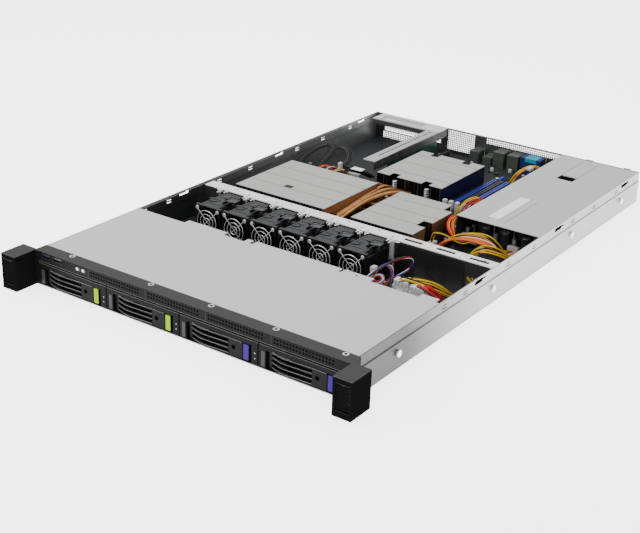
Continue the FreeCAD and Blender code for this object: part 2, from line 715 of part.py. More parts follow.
def rear_panel():
    """Rear wall with openings for ports, the expansion card and the power modules."""
    body = body_named("rear_wall_body")
    profile = [
        (f"-({WALL_IN})", "plate"),
        (WALL_IN, "plate"),
        (WALL_IN, "fold_height - plate"),
        (STRIP_IN, "fold_height"),
        (STRIP_IN, "body_height"),
        (f"-({STRIP_IN})", "body_height"),
        (f"-({STRIP_IN})", "fold_height"),
        (f"-({WALL_IN})", "fold_height - plate"),
    ]
    line = outline(body, "rear_wall_line", "XZ_Plane", profile, lift=f"-({REAR})")
    pad(body, "rear_wall_sheet", line, "plate")
    through = (f"{REAR} - plate - 1", f"{REAR} + 1")
    tools = []
    for name, middle, width, height, _ in PORTS:
        reach = f"{width} / 2 + port_gap"
        span = (f"{middle} - ({reach})", f"{middle} + {reach}")
        level = (f"{BOARD_TOP} - port_gap", f"{BOARD_TOP} + {height} + port_gap")
        tools.append(box(name + "_opening", span, through, level))
    tools.append(
        box(
            "card_opening",
            ("cross_left + card_left", "riser_left + card_right"),
            through,
            ("card_bottom", "card_top"),
        ),
    )
    modules_right = f"{MODULE_MIDDLES[1]} + module_width / 2 + module_gap"
    tools.append(
        box(
            "module_opening",
            ("cage_left + plate", modules_right),
            through,
            ("plate", f"{CAGE_TOP} - plate"),
        ),
    )
    node(cut("rear_panel", body, tools))


def rear_io_ports():
    """Shielded port housings on the motherboard, open to the rear."""
    shells = []
    for name, middle, width, height, sockets in PORTS:
        x = (f"{middle} - {width} / 2", f"{middle} + {width} / 2")
        shell = box(
            name + "_block", x, (f"{REAR} - port_depth", REAR), (BOARD_TOP, f"{BOARD_TOP} + {height}")
        )
        inside = (f"{x[0]} + port_shell", f"{x[1]} - port_shell")
        tools = []
        for number, (bottom, tall) in enumerate(sockets):
            level = (f"{BOARD_TOP} + {bottom}", f"{BOARD_TOP} + {bottom} + {tall}")
            tools.append(
                box(
                    f"{name}_socket_{number}",
                    inside,
                    (f"{REAR} - port_depth + port_back", f"{REAR} + 1"),
                    level,
                ),
            )
        shells.append(cut(name, shell, tools))
    node(group("rear_io_ports", shells))


def rack_ears():
    """Hollow black ear blocks with an inset front panel and a tongue into the bezel."""
    outer = f"{HALF} + ear_width"
    top = "ear_lift + ear_height"
    block = box("ear_block", (HALF, outer), ("-ear_depth", 0), ("ear_lift", top))
    tongue = box(
        "ear_tongue_block",
        (f"{HALF} - ear_tongue", HALF),
        ("-bezel_lead / 2", "ear_tongue_length"),
        ("ear_panel_bottom", "ear_panel_top"),
    )
    left = f"{outer} - ear_edge - ear_panel_width"
    right = f"{outer} - ear_edge"
    panel = box(
        "ear_panel_hollow",
        (left, right),
        ("-ear_depth - 1", "-ear_depth + ear_panel_inset"),
        ("ear_panel_bottom", "ear_panel_top"),
    )
    low = box(
        "ear_groove_low",
        (left, right),
        ("-ear_depth - 1", "-ear_depth + ear_groove_depth"),
        ("ear_panel_bottom - ear_groove", "ear_panel_bottom"),
    )
    high = box(
        "ear_groove_high",
        (left, right),
        ("-ear_depth - 1", "-ear_depth + ear_groove_depth"),
        ("ear_panel_top", "ear_panel_top + ear_groove"),
    )
    hollow = box(
        "ear_hollow",
        (f"{HALF} + ear_shell", f"{outer} - ear_shell"),
        ("-ear_depth + ear_groove_depth + ear_shell", "-ear_shell"),
        ("ear_lift + ear_shell", f"{top} - ear_shell"),
    )
    side_slot = box(
        "ear_side_slot",
        (f"{HALF} - 1", f"{HALF} + ear_shell / 2"),
        ("-ear_depth + ear_groove_depth", "-ear_depth + ear_groove_depth + ear_slot_length"),
        (f"{top} - ear_slot_drop - ear_slot_width", f"{top} - ear_slot_drop"),
    )
    right_ear = node(
        cut("right_rack_ear", fuse("ear_body", [block, tongue]), [panel, low, high, hollow, side_slot])
    )
    node(mirrored("left_rack_ear", right_ear))


# Cover screws across the bezel.
SCREWS = (-171.9, -52.1, 32.7, 118.3, 203.9)


def front_bezel():
    """Dark moulding over the front edge: upper strip, end posts and screw seats."""
    body = body_named("bezel_body")
    profile = [
        (FACE, "bezel_floor"),
        (BEZEL_BACK, "bezel_floor"),
        (BEZEL_BACK, "bezel_floor + bezel_skin"),
        ("bezel_skin - bezel_lead", "bezel_floor + bezel_skin"),
        ("bezel_skin - bezel_lead", "body_height - bezel_skin"),
        (BEZEL_BACK, "body_height - bezel_skin"),
        (BEZEL_BACK, "body_height"),
        (FACE, "body_height"),
    ]
    line = outline(body, "bezel_line", "YZ_Plane", profile, lift=f"-({HALF})")
    pad(body, "bezel_strip", line, "body_width")
    posts = []
    for name, left in (("left_post", f"-({HALF})"), ("right_post", f"{HALF} - post_width")):
        posts.append(
            box(name, (left, f"{left} + post_width"), (FACE, BEZEL_BACK), ("plate", "body_height"))
        )
    tools = []
    for side, sign in (("left", -1), ("right", 1)):
        inner = f"{HALF} - ear_tongue"
        x = (inner, f"{HALF} + 1") if sign > 0 else (f"-({HALF}) - 1", f"-({inner})")
        tools.append(
            box(
                f"{side}_tongue_pocket",
                x,
                ("-bezel_lead / 2", "ear_tongue_length"),
                ("ear_panel_bottom", "ear_panel_top"),
            )
        )
    for number, x in enumerate(SCREWS):
        seat = (x, f"{BEZEL_BACK} - screw_lead", "body_height - seat_depth")
        tools.append(rod(f"screw_seat_{number}", "z", seat, "seat_radius", "seat_depth + 1"))
    front = (f"{FACE} - 1", "bezel_skin - bezel_lead + 1")
    for name in ("usb_left", "usb_right"):
        x = (f"{name} - usb_width / 2", f"{name} + usb_width / 2")
        tools.append(
            box(name + "_window", x, front, ("usb_level - usb_height / 2", "usb_level + usb_height / 2"))
        )
    for name in ("button_left", "button_right"):
        reach = "button_width / 2 + button_gap"
        x = (f"{name} - ({reach})", f"{name} + {reach}")
        rise = "button_height / 2 + button_gap"
        tools.append(
            box(name + "_window", x, front, (f"button_level - ({rise})", f"button_level + {rise}"))
        )
    tools.append(
        rod(
            "reset_pinhole",
            "y",
            ("pinhole_x", f"{FACE} - 1", "usb_level"),
            "pinhole_radius",
            "bezel_skin + 2",
        ),
    )
    node(cut("front_bezel", fuse("bezel_whole", [body] + posts), tools))


def cover_screws():
    """Ring-headed screws that hold the drive cage cover to the bezel."""
    screws = []
    for number, x in enumerate(SCREWS):
        y = f"{BEZEL_BACK} - screw_lead"
        head = rod(
            f"screw_head_{number}", "z", (x, y, "body_height - seat_depth"), "screw_radius", "seat_depth"
        )
        bore = hexagon(
            f"screw_bore_{number}", (x, y, "body_height - seat_depth / 2"), "screw_bore", "seat_depth"
        )
        screws.append(cut(f"screw_{number}", head, [bore]))
    node(group("cover_screws", screws))


def front_ports():
    """Front port shells with their contact tongues."""
    shells = []
    for name in ("usb_left", "usb_right"):
        x = (f"{name} - usb_width / 2", f"{name} + usb_width / 2")
        z = ("usb_level - usb_height / 2", "usb_level + usb_height / 2")
        y = (f"{FACE} + 0.4", f"{FACE} + 0.4 + usb_length")
        block = box(name + "_block", x, y, z)
        inside = box(
            name + "_inside",
            (f"{x[0]} + usb_shell", f"{x[1]} - usb_shell"),
            (f"{y[0]} - 1", f"{y[1]} - 1"),
            (f"{z[0]} + usb_shell", f"{z[1]} - usb_shell"),
        )
        tongue = box(
            name + "_tongue",
            (f"{name} - tongue_width / 2", f"{name} + tongue_width / 2"),
            (f"{y[0]} + 1", y[1]),
            ("usb_level", "usb_level + tongue_thickness"),
        )
        shells.append(fuse(name + "_port", [cut(name + "_shell", block, [inside]), tongue]))
    node(group("front_ports", shells))


def front_buttons():
    """Oval push buttons with a flange behind the bezel skin."""
    for label, name in (("power_button", "button_left"), ("locate_button", "button_right")):
        body = body_named(label)
        reach = "(button_width - button_height) / 2"
        profile = [
            (f"-{reach}", "-button_height / 2"),
            (reach, "-button_height / 2"),
            (reach, "button_height / 2"),
            (f"-{reach}", "button_height / 2"),
        ]
        rounds = {1: "button_height / 2 + 0.001", 3: "button_height / 2 + 0.001"}
        cap = outline(body, label + "_cap_line", "XZ_Plane", profile, lift=0, arcs=rounds)
        pad(body, label + "_cap", cap, "button_proud + bezel_skin + button_gap")
        flange_line = [
            ("-button_width / 2 - 1", "-button_height / 2 - 1"),
            ("button_width / 2 + 1", "-button_height / 2 - 1"),
            ("button_width / 2 + 1", "button_height / 2 + 1"),
            ("-button_width / 2 - 1", "button_height / 2 + 1"),
        ]
        flange = outline(body, label + "_flange_line", "XZ_Plane", flange_line, lift=0)
        pad(body, label + "_flange", flange, "button_stem", back=True)
        at(body, name, "bezel_skin - bezel_lead + button_gap", "button_level")
        node(body)


def drive_cage():
    """Comb of thin dividers under a shelf, open to the front and rear."""
    back = (BEZEL_BACK, "bay_back")
    shelf = box(
        "cage_shelf", (f"-({STRIP_IN})", STRIP_IN), back, ("shelf_level", "shelf_level + shelf_plate")
    )
    sheets = [shelf]
    for number in range(5):
        x = f"bay_pitch * {number - 2}"
        sheet_x = (f"{x} - divider / 2", f"{x} + divider / 2")
        sheets.append(box(f"divider_{number}", sheet_x, back, ("plate", "shelf_level")))
    node(fuse("drive_cage", sheets))


# Tabs along the rear edge of the cover: left end, right end.
COVER_TABS = ((-142, -81), (-50, -42), (-37, 85), (89, 128), (190.6, 211.9))


def drive_cage_cover():
    """Flat cover over the drive cage, with tabs along its rear edge."""
    level = ("body_height - plate", "body_height")
    parts = [box("cover_sheet", (f"-({STRIP_IN})", STRIP_IN), (BEZEL_BACK, "bay_back"), level)]
    for number, (left, right) in enumerate(COVER_TABS):
        parts.append(
            box(f"cover_tab_{number}", (left, right), ("bay_back", "bay_back + cover_tab"), level)
        )
    place = ("cover_hole_x", "bay_back + cover_hole_back", "body_height - plate - 1")
    hole = rod("cover_tab_hole", "z", place, "cover_hole_radius", "plate + 2")
    node(cut("drive_cage_cover", fuse("cover_whole", parts), [hole]))


def bay_x(number):
    """Left boundary of a drive bay."""
    return f"bay_pitch * {number - 2}"


def drive_tray(number):
    """Drive carrier: face moulding with the lever recess, floor, side rails and the hinge pin."""
    name = f"drive_tray_{number + 1}"
    wide = ("tray_gap", "bay_pitch - tray_gap")
    face = box(name + "_face", wide, (FACE, "moulding_depth"), (TRAY_BOTTOM, "tray_top"))
    recess = box(
        name + "_recess",
        ("recess_left", "recess_right"),
        (f"{FACE} - 1", "recess_back"),
        ("recess_bottom", "recess_top"),
    )
    tools = [recess]
    for window in range(5):
        x = f"vent_left + vent_pitch * {window}"
        tools.append(
            box(
                f"{name}_vent_{window}",
                (x, f"{x} + vent_width"),
                (0, "moulding_depth + 1"),
                ("vent_bottom", "vent_top"),
            )
        )
    for level in ("lamp_low", "lamp_high"):
        tools.append(
            box(
                f"{name}_{level}",
                ("lamp_x - lamp_size / 2", "lamp_x + lamp_size / 2"),
                (f"{FACE} - 1", f"{FACE} + lamp_depth"),
                (f"{level} - lamp_size / 2", f"{level} + lamp_size / 2"),
            )
        )
    face_cut = cut(name + "_moulding", face, tools)
    pin = rod(
        name + "_pin",
        "z",
        ("hinge_x", "hinge_y", "recess_bottom"),
        "pin_radius",
        "recess_top - recess_bottom",
    )
    edge = "divider / 2 + slide_gap"
    along = ("moulding_depth", "tray_back")
    floor = box(
        name + "_floor",
        (edge, f"bay_pitch - ({edge})"),
        along,
        (TRAY_BOTTOM, f"{TRAY_BOTTOM} + rail_wall"),
    )
    windows = [
        box(
            f"{name}_window_{half}",
            ("recess_left + window_margin", "bay_pitch - recess_left - window_margin"),
            (
                f"moulding_depth + window_first + window_pitch * {half}",
                f"moulding_depth + window_first + window_length + window_pitch * {half}",
            ),
            (f"{TRAY_BOTTOM} - 1", f"{TRAY_BOTTOM} + rail_wall + 1"),
        )
        for half in range(2)
    ]
    floor_cut = cut(name + "_base", floor, windows)
    rail_z = (TRAY_BOTTOM, f"{TRAY_BOTTOM} + rail_height")
    left = box(name + "_left_rail", (edge, f"{edge} + rail_wall"), along, rail_z)
    right = box(
        name + "_right_rail",
        (f"bay_pitch - ({edge}) - rail_wall", f"bay_pitch - ({edge})"),
        along,
        rail_z,
    )
    tray = fuse(name, [face_cut, pin, floor_cut, left, right])
    node(at(tray, bay_x(number)))


def tray_lever(number):
    """Swing lever of a tray: hinge barrel, four bowed louvres and the lock block, cut from one profile."""
    name = f"tray_lever_{number + 1}"
    body = body_named(name)
    low, high = "recess_bottom + lever_gap", "recess_top - lever_gap"
    tall = f"({high}) - ({low})"
    profile = [
        ("hinge_x", "hinge_y - hinge_radius"),
        ("louvre_right", FACE),
        ("lever_end", FACE),
        ("lever_end", "lever_back"),
        ("hinge_x", "hinge_y + hinge_radius"),
    ]
    rounds = {0: "louvre_bow", 4: "hinge_radius + 0.001"}
    top_view = outline(body, name + "_line", "XY_Plane", profile, lift=low, arcs=rounds)
    pad(body, name + "_blank", top_view, tall)
    gap = f"(({tall}) - 4 * louvre_thickness) / 3"
    first = f"{low} + louvre_thickness"
    window = [
        ("louvre_left", first),
        ("louvre_right", first),
        ("louvre_right", f"{first} + {gap}"),
        ("louvre_left", f"{first} + {gap}"),
    ]
    opening = outline(body, name + "_gap_line", "XZ_Plane", window, lift=10)
    louvre_gap = pocket(body, name + "_gap", opening, 20)
    row(body, name + "_gaps", louvre_gap, "Z_Axis", f"2 * (louvre_thickness + {gap})", 3)
    lock = ring(
        body, name + "_lock_line", "XZ_Plane", ("lock_x", "lock_level"), "lock_radius", lift="bezel_lead"
    )
    pocket(body, name + "_lock", lock, "lock_depth")
    bore = ring(
        body,
        name + "_bore_line",
        "XY_Plane",
        ("hinge_x", "hinge_y"),
        "pin_radius + pin_gap",
        lift="recess_top",
    )
    pocket(body, name + "_bore", bore, "recess_top")
    node(at(body, bay_x(number)))


def tray_latch(number):
    """Coloured release latch that slides sideways beside the lever."""
    name = f"tray_latch_{number + 1}"
    body = body_named(name)
    right = "latch_left + latch_width"
    face = [
        ("latch_left", "latch_bottom"),
        (right, "latch_bottom"),
        (right, "latch_top"),
        ("latch_left", "latch_top"),
    ]
    line = outline(body, name + "_line", "XZ_Plane", face, lift="-(lever_back)")
    tab = pad(body, name + "_tab", line, "lever_back + bezel_lead + latch_proud")
    doc.recompute()
    corners = [
        f"Edge{index + 1}"
        for index, edge in enumerate(tab.Shape.Edges)
        if abs(edge.tangentAt(edge.FirstParameter).y) > 0.99
    ]
    rounded = body.newObject("PartDesign::Fillet", name + "_corners")
    rounded.Base = (tab, corners)
    bind(rounded, Radius="latch_round")
    foot = [
        ("latch_left + latch_foot_inset", "recess_bottom + foot_gap"),
        (f"{right} - latch_foot_inset", "recess_bottom + foot_gap"),
        (f"{right} - latch_foot_inset", "recess_top - foot_gap"),
        ("latch_left + latch_foot_inset", "recess_top - foot_gap"),
    ]
    foot_line = outline(body, name + "_foot_line", "XZ_Plane", foot, lift="-(recess_back - foot_gap)")
    pad(body, name + "_foot", foot_line, "recess_back - foot_gap - latch_foot_front")
    node(at(body, bay_x(number)))


def drive_backplane():
    """Upright board behind the bays with air cut-outs."""
    span = (f"-({HALF} - backplane_margin)", f"{HALF} - backplane_margin")
    sheet_board = box(
        "backplane_board", span, ("backplane_y", "backplane_y + board"), ("plate", "backplane_top")
    )
    tools = []
    for number in range(4):
        for part_number in range(3):
            x = f"{bay_x(number)} + air_first + air_pitch * {part_number}"
            tools.append(
                box(
                    f"backplane_air_{number}{part_number}",
                    (x, f"{x} + air_width"),
                    ("backplane_y - 1", "backplane_y + board + 1"),
                    ("socket_level + socket_height + air_sill", "backplane_top - air_head"),
                )
            )
    node(cut("drive_backplane", sheet_board, tools))


# Upright power plugs behind the drive bays: centre across, centre along, top.
POWER_PLUGS = ((147.5, 206, 31), (170.5, 203.5, 30))


def backplane_connectors():
    """Drive sockets on the backplane and two upright power plugs behind it."""
    pieces = []
    for number in range(4):
        x = f"{bay_x(number)} + socket_offset"
        y = ("backplane_y - socket_depth", "backplane_y")
        z = ("socket_level", "socket_level + socket_height")
        block = box(f"drive_socket_block_{number}", (x, f"{x} + socket_width"), y, z)
        slit = box(
            f"drive_socket_slit_{number}",
            (f"{x} + socket_wall", f"{x} + socket_width - socket_wall"),
            (f"{y[0]} - 1", f"{y[1]} - socket_floor"),
            (f"{z[0]} + socket_lip", f"{z[1]} - socket_lip"),
        )
        pieces.append(cut(f"drive_socket_{number}", block, [slit]))
    for number, (x, y, top) in enumerate(POWER_PLUGS):
        across = (f"{x} - plug_width / 2", f"{x} + plug_width / 2")
        along = (f"{y} - plug_depth / 2", f"{y} + plug_depth / 2")
        pieces.append(box(f"power_plug_{number}", across, along, ("plate", top)))
    node(group("backplane_connectors", pieces))


def fan_x(number):
    """Centre of a fan across the chassis."""
    return f"fan_first + fan_pitch * {number}"


FAN_BACK = "fan_front + fan_length"
FAN_HALFWAY = "fan_front + fan_length / 2"


def fan_frame(number):
    """Square housing: three flanges, round duct, and a motor cup with its spindle on four struts."""
    name = f"fan_frame_{number + 1}"
    half = "fan_size / 2"
    block = box(name + "_block", (f"-{half}", half), ("fan_front", FAN_BACK), (f"-{half}", half))
    tools = [rod(name + "_duct", "y", (0, "fan_front - 1", 0), "fan_bore", "fan_length + 2")]
    spans = (
        ("fan_front + flange", f"{FAN_HALFWAY} - middle_flange / 2"),
        (f"{FAN_HALFWAY} + middle_flange / 2", f"{FAN_BACK} - flange"),
    )
    limits = ((f"-{half} - 1", f"-{half} + corner_cut"), (f"{half} - corner_cut", f"{half} + 1"))
    for along, y in enumerate(spans):
        for across, x in enumerate(limits):
            for up, z in enumerate(limits):
                tools.append(box(f"{name}_corner_{along}{across}{up}", x, y, z))
    shell = cut(name + "_shell", block, tools)
    cup_y = f"{FAN_HALFWAY} - cup_length / 2"
    cup = many_sided(name + "_cup", (0, cup_y, 0), "hub_cup", "cup_length")
    span = (cup_y, f"{cup_y} + cup_length")
    reach = "fan_bore + strut_root"
    across = box(name + "_strut_across", (f"-({reach})", reach), span, ("-strut / 2", "strut / 2"))
    upright = box(name + "_strut_up", ("-strut / 2", "strut / 2"), span, (f"-({reach})", reach))
    length = "cup_length + 2 * (rotor_gap + spindle_length)"
    spindle = many_sided(
        name + "_spindle", (0, f"{FAN_HALFWAY} - ({length}) / 2", 0), "spindle_radius", length
    )
    frame = fuse(name, [shell, cup, across, upright, spindle])
    return at(frame, fan_x(number), 0, FAN_MIDDLE)


def fan_frames():
    node(group("fan_frames", [fan_frame(number) for number in range(6)]))


def finger_guards():
    """Wire guards on the intake side: crossed wires with screw eyes, and a ring in front."""
    guards = []
    for number in range(6):
        name = f"finger_guard_{number + 1}"
        disc = many_sided(
            name + "_disc", (0, "-2 * guard_wire", 0), "guard_ring + guard_wire / 2", "guard_wire"
        )
        hole = many_sided(
            name + "_hole", (0, "-3 * guard_wire", 0), "guard_ring - guard_wire / 2", "3 * guard_wire"
        )
        pieces = [cut(name + "_ring", disc, [hole])]
        for index, turn in enumerate((45, -45)):
            wire = box(
                f"{name}_wire_{index}",
                ("-guard_eye", "guard_eye"),
                ("-guard_wire", 0),
                ("-guard_wire / 2", "guard_wire / 2"),
            )
            eyes = [
                box(
                    f"{name}_eye_{index}_{side}",
                    (f"{sign}guard_eye - guard_eye_size / 2", f"{sign}guard_eye + guard_eye_size / 2"),
                    ("-guard_wire", 0),
                    ("-guard_eye_size / 2", "guard_eye_size / 2"),
                )
                for side, sign in enumerate(("-", ""))
            ]
            spoke = fuse(f"{name}_spoke_{index}", [wire] + eyes)
            spoke.Placement = Placement(Vector(), Rotation(Vector(0, 1, 0), turn))
            pieces.append(spoke)
        guards.append(at(fuse(name, pieces), fan_x(number), "fan_front", FAN_MIDDLE))
    node(group("finger_guards", guards))


def rotor(label, number, start, hand):
    """Rotor: hub bored for the spindle, with pitched blades. Hand sets their lean."""
    name = f"{label}_{number + 1}"
    body = body_named(name)
    hub_line = ring(body, name + "_hub_line", "XZ_Plane", (0, 0), "hub_radius", lift="-hub_length")
    pad(body, name + "_hub", hub_line, "hub_length")
    along = "(blade_chord / 2 * sin(blade_pitch * 1 deg))"
    across = f"({hand} * blade_chord / 2 * cos(blade_pitch * 1 deg))"
    thick_along = "(blade_thickness / 2 * cos(blade_pitch * 1 deg))"
    thick_across = f"({hand} * blade_thickness / 2 * sin(blade_pitch * 1 deg))"
    middle = "hub_length / 2"
    corners = [
        (f"-{across} + {thick_across}", f"{middle} - {along} - {thick_along}"),
        (f"{across} + {thick_across}", f"{middle} + {along} - {thick_along}"),
        (f"{across} - {thick_across}", f"{middle} + {along} + {thick_along}"),
        (f"-{across} - {thick_across}", f"{middle} - {along} + {thick_along}"),
    ]
    section = outline(body, name + "_blade_line", "XY_Plane", corners, lift="hub_radius * blade_root")
    reach = "sqrt(rotor_radius ^ 2 - (blade_chord / 2 * cos(blade_pitch * 1 deg) + blade_thickness) ^ 2)"
    blade = pad(body, name + "_blade", section, f"{reach} - hub_radius * blade_root")
    wheel = body.newObject("PartDesign::PolarPattern", name + "_blades")
    wheel.Originals = [blade]
    wheel.Axis = (origin_of(body, "Y_Axis"), [""])
    wheel.Angle = 360
    bind(wheel, Occurrences="blade_count")
    body.Tip = wheel
    depth = "spindle_length + spindle_end"
    lift = f"-(hub_length - ({depth}))" if hand > 0 else 1
    bore = ring(body, name + "_bore_line", "XZ_Plane", (0, 0), "spindle_radius + spindle_gap", lift=lift)
    pocket(body, name + "_bore", bore, f"{depth} + 1")
    return node(at(body, fan_x(number), start, FAN_MIDDLE))


def fan_wall():
    """Wall behind the fans: top flange, air holes, legs between the fans, slotted right part."""
    top = "body_height"
    back = "wall_front + wall_depth"
    pieces = [
        box(
            "wall_face",
            ("wall_left", STRIP_IN),
            ("wall_front", "wall_front + wall_sheet"),
            ("plate", top),
        ),
        box("wall_flange", ("wall_left", STRIP_IN), ("wall_front", back), (f"{top} - wall_sheet", top)),
        box(
            "wall_lip",
            ("wall_left", "wall_turn"),
            (f"{back} - wall_sheet", back),
            (f"{top} - wall_lip", top),
        ),
    ]
    for number in range(7):
        x = f"{fan_x(number)} - fan_pitch / 2"
        pieces.append(
            box(
                f"wall_leg_{number}",
                (f"{x} - wall_sheet / 2", f"{x} + wall_sheet / 2"),
                ("wall_front - wall_leg", "wall_front"),
                ("plate", top),
            )
        )
    tools = []
    for number in range(6):
        centre = (fan_x(number), "wall_front - 1", FAN_MIDDLE)
        tools.append(rod(f"wall_outlet_{number}", "y", centre, "outlet_radius", "wall_sheet + 2"))
    middle = "wall_front + wall_depth / 2 + strip_slot_setback"
    for number in range(3):
        x = f"strip_slot_first + strip_slot_pitch * {number}"
        tools.append(
            box(
                f"wall_slot_{number}",
                (f"{x} - strip_slot_length / 2", f"{x} + strip_slot_length / 2"),
                (f"{middle} - strip_slot_width / 2", f"{middle} + strip_slot_width / 2"),
                (f"{top} - wall_sheet - 1", f"{top} + 1"),
            )
        )
    through = ("wall_front - 1", "wall_front + wall_sheet + 1")
    tools.append(
        box("wall_cable_way", ("cable_way_left", "cable_way_right"), through, ("plate", "cable_way_top"))
    )
    node(cut("fan_wall", fuse("fan_wall_whole", pieces), tools))


def baffle_sheet():
    """Black plastic sheet in front of the right part of the fan wall, its foot folded forward."""
    face = ("wall_front - film", "wall_front")
    across = ("wall_turn + baffle_gap", "wall_turn + baffle_gap + baffle_length")
    upright = box("baffle_upright", across, face, ("plate", "body_height - baffle_drop"))
    foot = box(
        "baffle_foot", across, ("wall_front - baffle_foot", "wall_front"), ("plate", "plate + film")
    )
    node(fuse("baffle_sheet", [upright, foot]))


def motherboard():
    """Main board with the processor socket frame."""
    board = box(
        "main_board",
        ("board_left", "board_right"),
        ("board_front", "board_back"),
        (BOARD_BOTTOM, BOARD_TOP),
    )
    middle = "(cooler_left + cooler_right) / 2"
    frame = box(
        "processor_socket",
        (f"{middle} - socket_frame_width / 2", f"{middle} + socket_frame_width / 2"),
        ("cooler_front + socket_frame_inset", "cooler_back - socket_frame_inset"),
        (BOARD_TOP, f"{BOARD_TOP} + socket_frame"),
    )
    node(fuse("motherboard", [board, frame]))


def finned(name, x, y, bottom, base):
    """Fins in a row over a base and under a closed top, cut along their length."""
    body = body_named(name + "_fins")
    block = [(x[0], bottom), (x[1], bottom), (x[1], "fin_top"), (x[0], "fin_top")]
    line = outline(body, name + "_line", "XZ_Plane", block, lift=f"-({y[1]})")
    pad(body, name + "_blank", line, f"({y[1]}) - ({y[0]})")
    gap = "fin_pitch - fin"
    first = f"{x[0]} + fin"
    channel = [
        (first, f"{bottom} + {base}"),
        (f"{first} + {gap}", f"{bottom} + {base}"),
        (f"{first} + {gap}", "fin_top - fin_cover"),
        (first, "fin_top - fin_cover"),
    ]
    opening = outline(body, name + "_gap_line", "XZ_Plane", channel, lift=f"-({y[0]} - 1)")
    channels = pocket(body, name + "_gap", opening, f"({y[1]}) - ({y[0]}) + 2")
    count = f"floor(({x[1]} - {x[0]} - fin) / fin_pitch)"
    row(body, name + "_gaps", channels, "X_Axis", f"fin_pitch * ({count} - 1)", count)
    return body


def cpu_cooler():
    """Processor cooler: copper base, fins and two front notches for the spring screws."""
    bottom = f"{BOARD_TOP} + socket_frame"
    fins = finned(
        "cpu_heatsink",
        ("cooler_left", "cooler_right"),
        ("cooler_front", "cooler_back"),
        bottom,
        "base_plate",
    )
    notches = []
    level = (f"{bottom} + base_plate", "fin_top + 1")
    for number, x in enumerate(("cooler_left + notch_left", "cooler_right - notch_right")):
        across = (x, f"{x} + notch")
        notches.append(
            box(f"cooler_notch_{number}", across, ("cooler_front - 1", "cooler_front + notch"), level)
        )
        notches.append(
            box(f"cooler_back_notch_{number}", across, ("cooler_back - notch", "cooler_back + 1"), level)
        )
    node(cut("cpu_heatsink", fins, notches))


def fin_stacks():
    """Two remote fin stacks; the right one is notched along its right edge."""
    left = finned(
        "left_fin_stack",
        ("left_stack_left", "left_stack_right"),
        ("left_stack_front", "left_stack_back"),
        BOARD_TOP,
        "stack_base",
    )
    right = finned(
        "right_fin_stack",
        ("right_stack_left", "right_stack_right"),
        ("right_stack_front", "right_stack_back"),
        BOARD_TOP,
        "stack_base",
    )
    over = ("right_stack_right - stack_notch", "right_stack_right + 1")
    level = (f"{BOARD_TOP} + stack_base", "fin_top + 1")
    start = "right_stack_front + stack_notch_start"
    notch_front = box("stack_notch_front", over, (start, f"{start} + stack_notch_length"), level)
    notch_back = box(
        "stack_notch_back", over, ("right_stack_back - stack_notch_end", "right_stack_back + 1"), level
    )
    stack = cut("right_fin_stack", right, [notch_front, notch_back])
    node(group("fin_stacks", [left, stack]))


def bent_path(corners, bends):
    """Straight runs joined by tangent arcs."""
    edges = []
    here = corners[0]
    for corner, following, bend in zip(corners[1:-1], corners[2:], bends):
        arriving = (corner - here).normalize()
        leaving = (following - corner).normalize()
        setback = bend * math.tan(arriving.getAngle(leaving) / 2)
        start = corner - arriving * setback
        end = corner + leaving * setback
        centre_way = (leaving - arriving).normalize()
        reach = (bend**2 + setback**2) ** 0.5
        middle = corner + centre_way * (reach - bend)
        edges.append(Part.LineSegment(here, start).toShape())
        edges.append(Part.Arc(start, middle, end).toShape())
        here = end
    edges.append(Part.LineSegment(here, corners[-1]).toShape())
    return Part.Wire(edges)


def flat_pipe(points, bends, width, thickness, level):
    """A flattened pipe with level bends."""
    corners = [Vector(x, y, level) for x, y in points]
    first = (corners[1] - corners[0]).normalize()
    across = first.cross(Vector(0, 0, 1))
    half_flat = (width - thickness) / 2 + thickness / 5
    ring_points = []
    for side, lift in ((1, 1), (-1, 1), (-1, -1), (1, -1)):
        flat = across * side * half_flat + Vector(0, 0, lift * thickness / 2)
        edge = across * side * width / 2 + Vector(0, 0, lift * thickness / 5)
        ring_points += [edge, flat] if side * lift > 0 else [flat, edge]
    section = Part.makePolygon([corners[0] + offset for offset in ring_points + ring_points[:1]])
    return bent_path(corners, bends).makePipe(Part.Face(section))


def heat_pipes():
    """Flattened copper pipes from the cooler's base: two bend into each stack."""
    width, thickness = value("pipe_width"), value("pipe_thickness")
    level, pitch = value("pipe_level"), value("pipe_pitch")
    start, spread, further = value("cooler_front"), value("pipe_spread"), value("pipe_row")
    left_face, right_face = value("left_stack_right"), value("right_stack_left")
    middle = (left_face + right_face) / 2
    bend = value("pipe_bend")
    pipes = []
    for number in range(2):
        x = middle - pitch * (number + 0.5)
        y = value("left_stack_back") - spread - further * (1 - number)
        pipes.append(flat_pipe([(x, start), (x, y), (left_face, y)], [bend], width, thickness, level))
    for number in range(2):
        x = middle + pitch * (number + 0.5)
        y = value("right_stack_front") + spread + further * number
        pipes.append(flat_pipe([(x, start), (x, y), (right_face, y)], [bend], width, thickness, level))
    piece = doc.addObject("Part::Feature", "heat_pipes")
    piece.Shape = Part.makeCompound(pipes)
    node(piece)


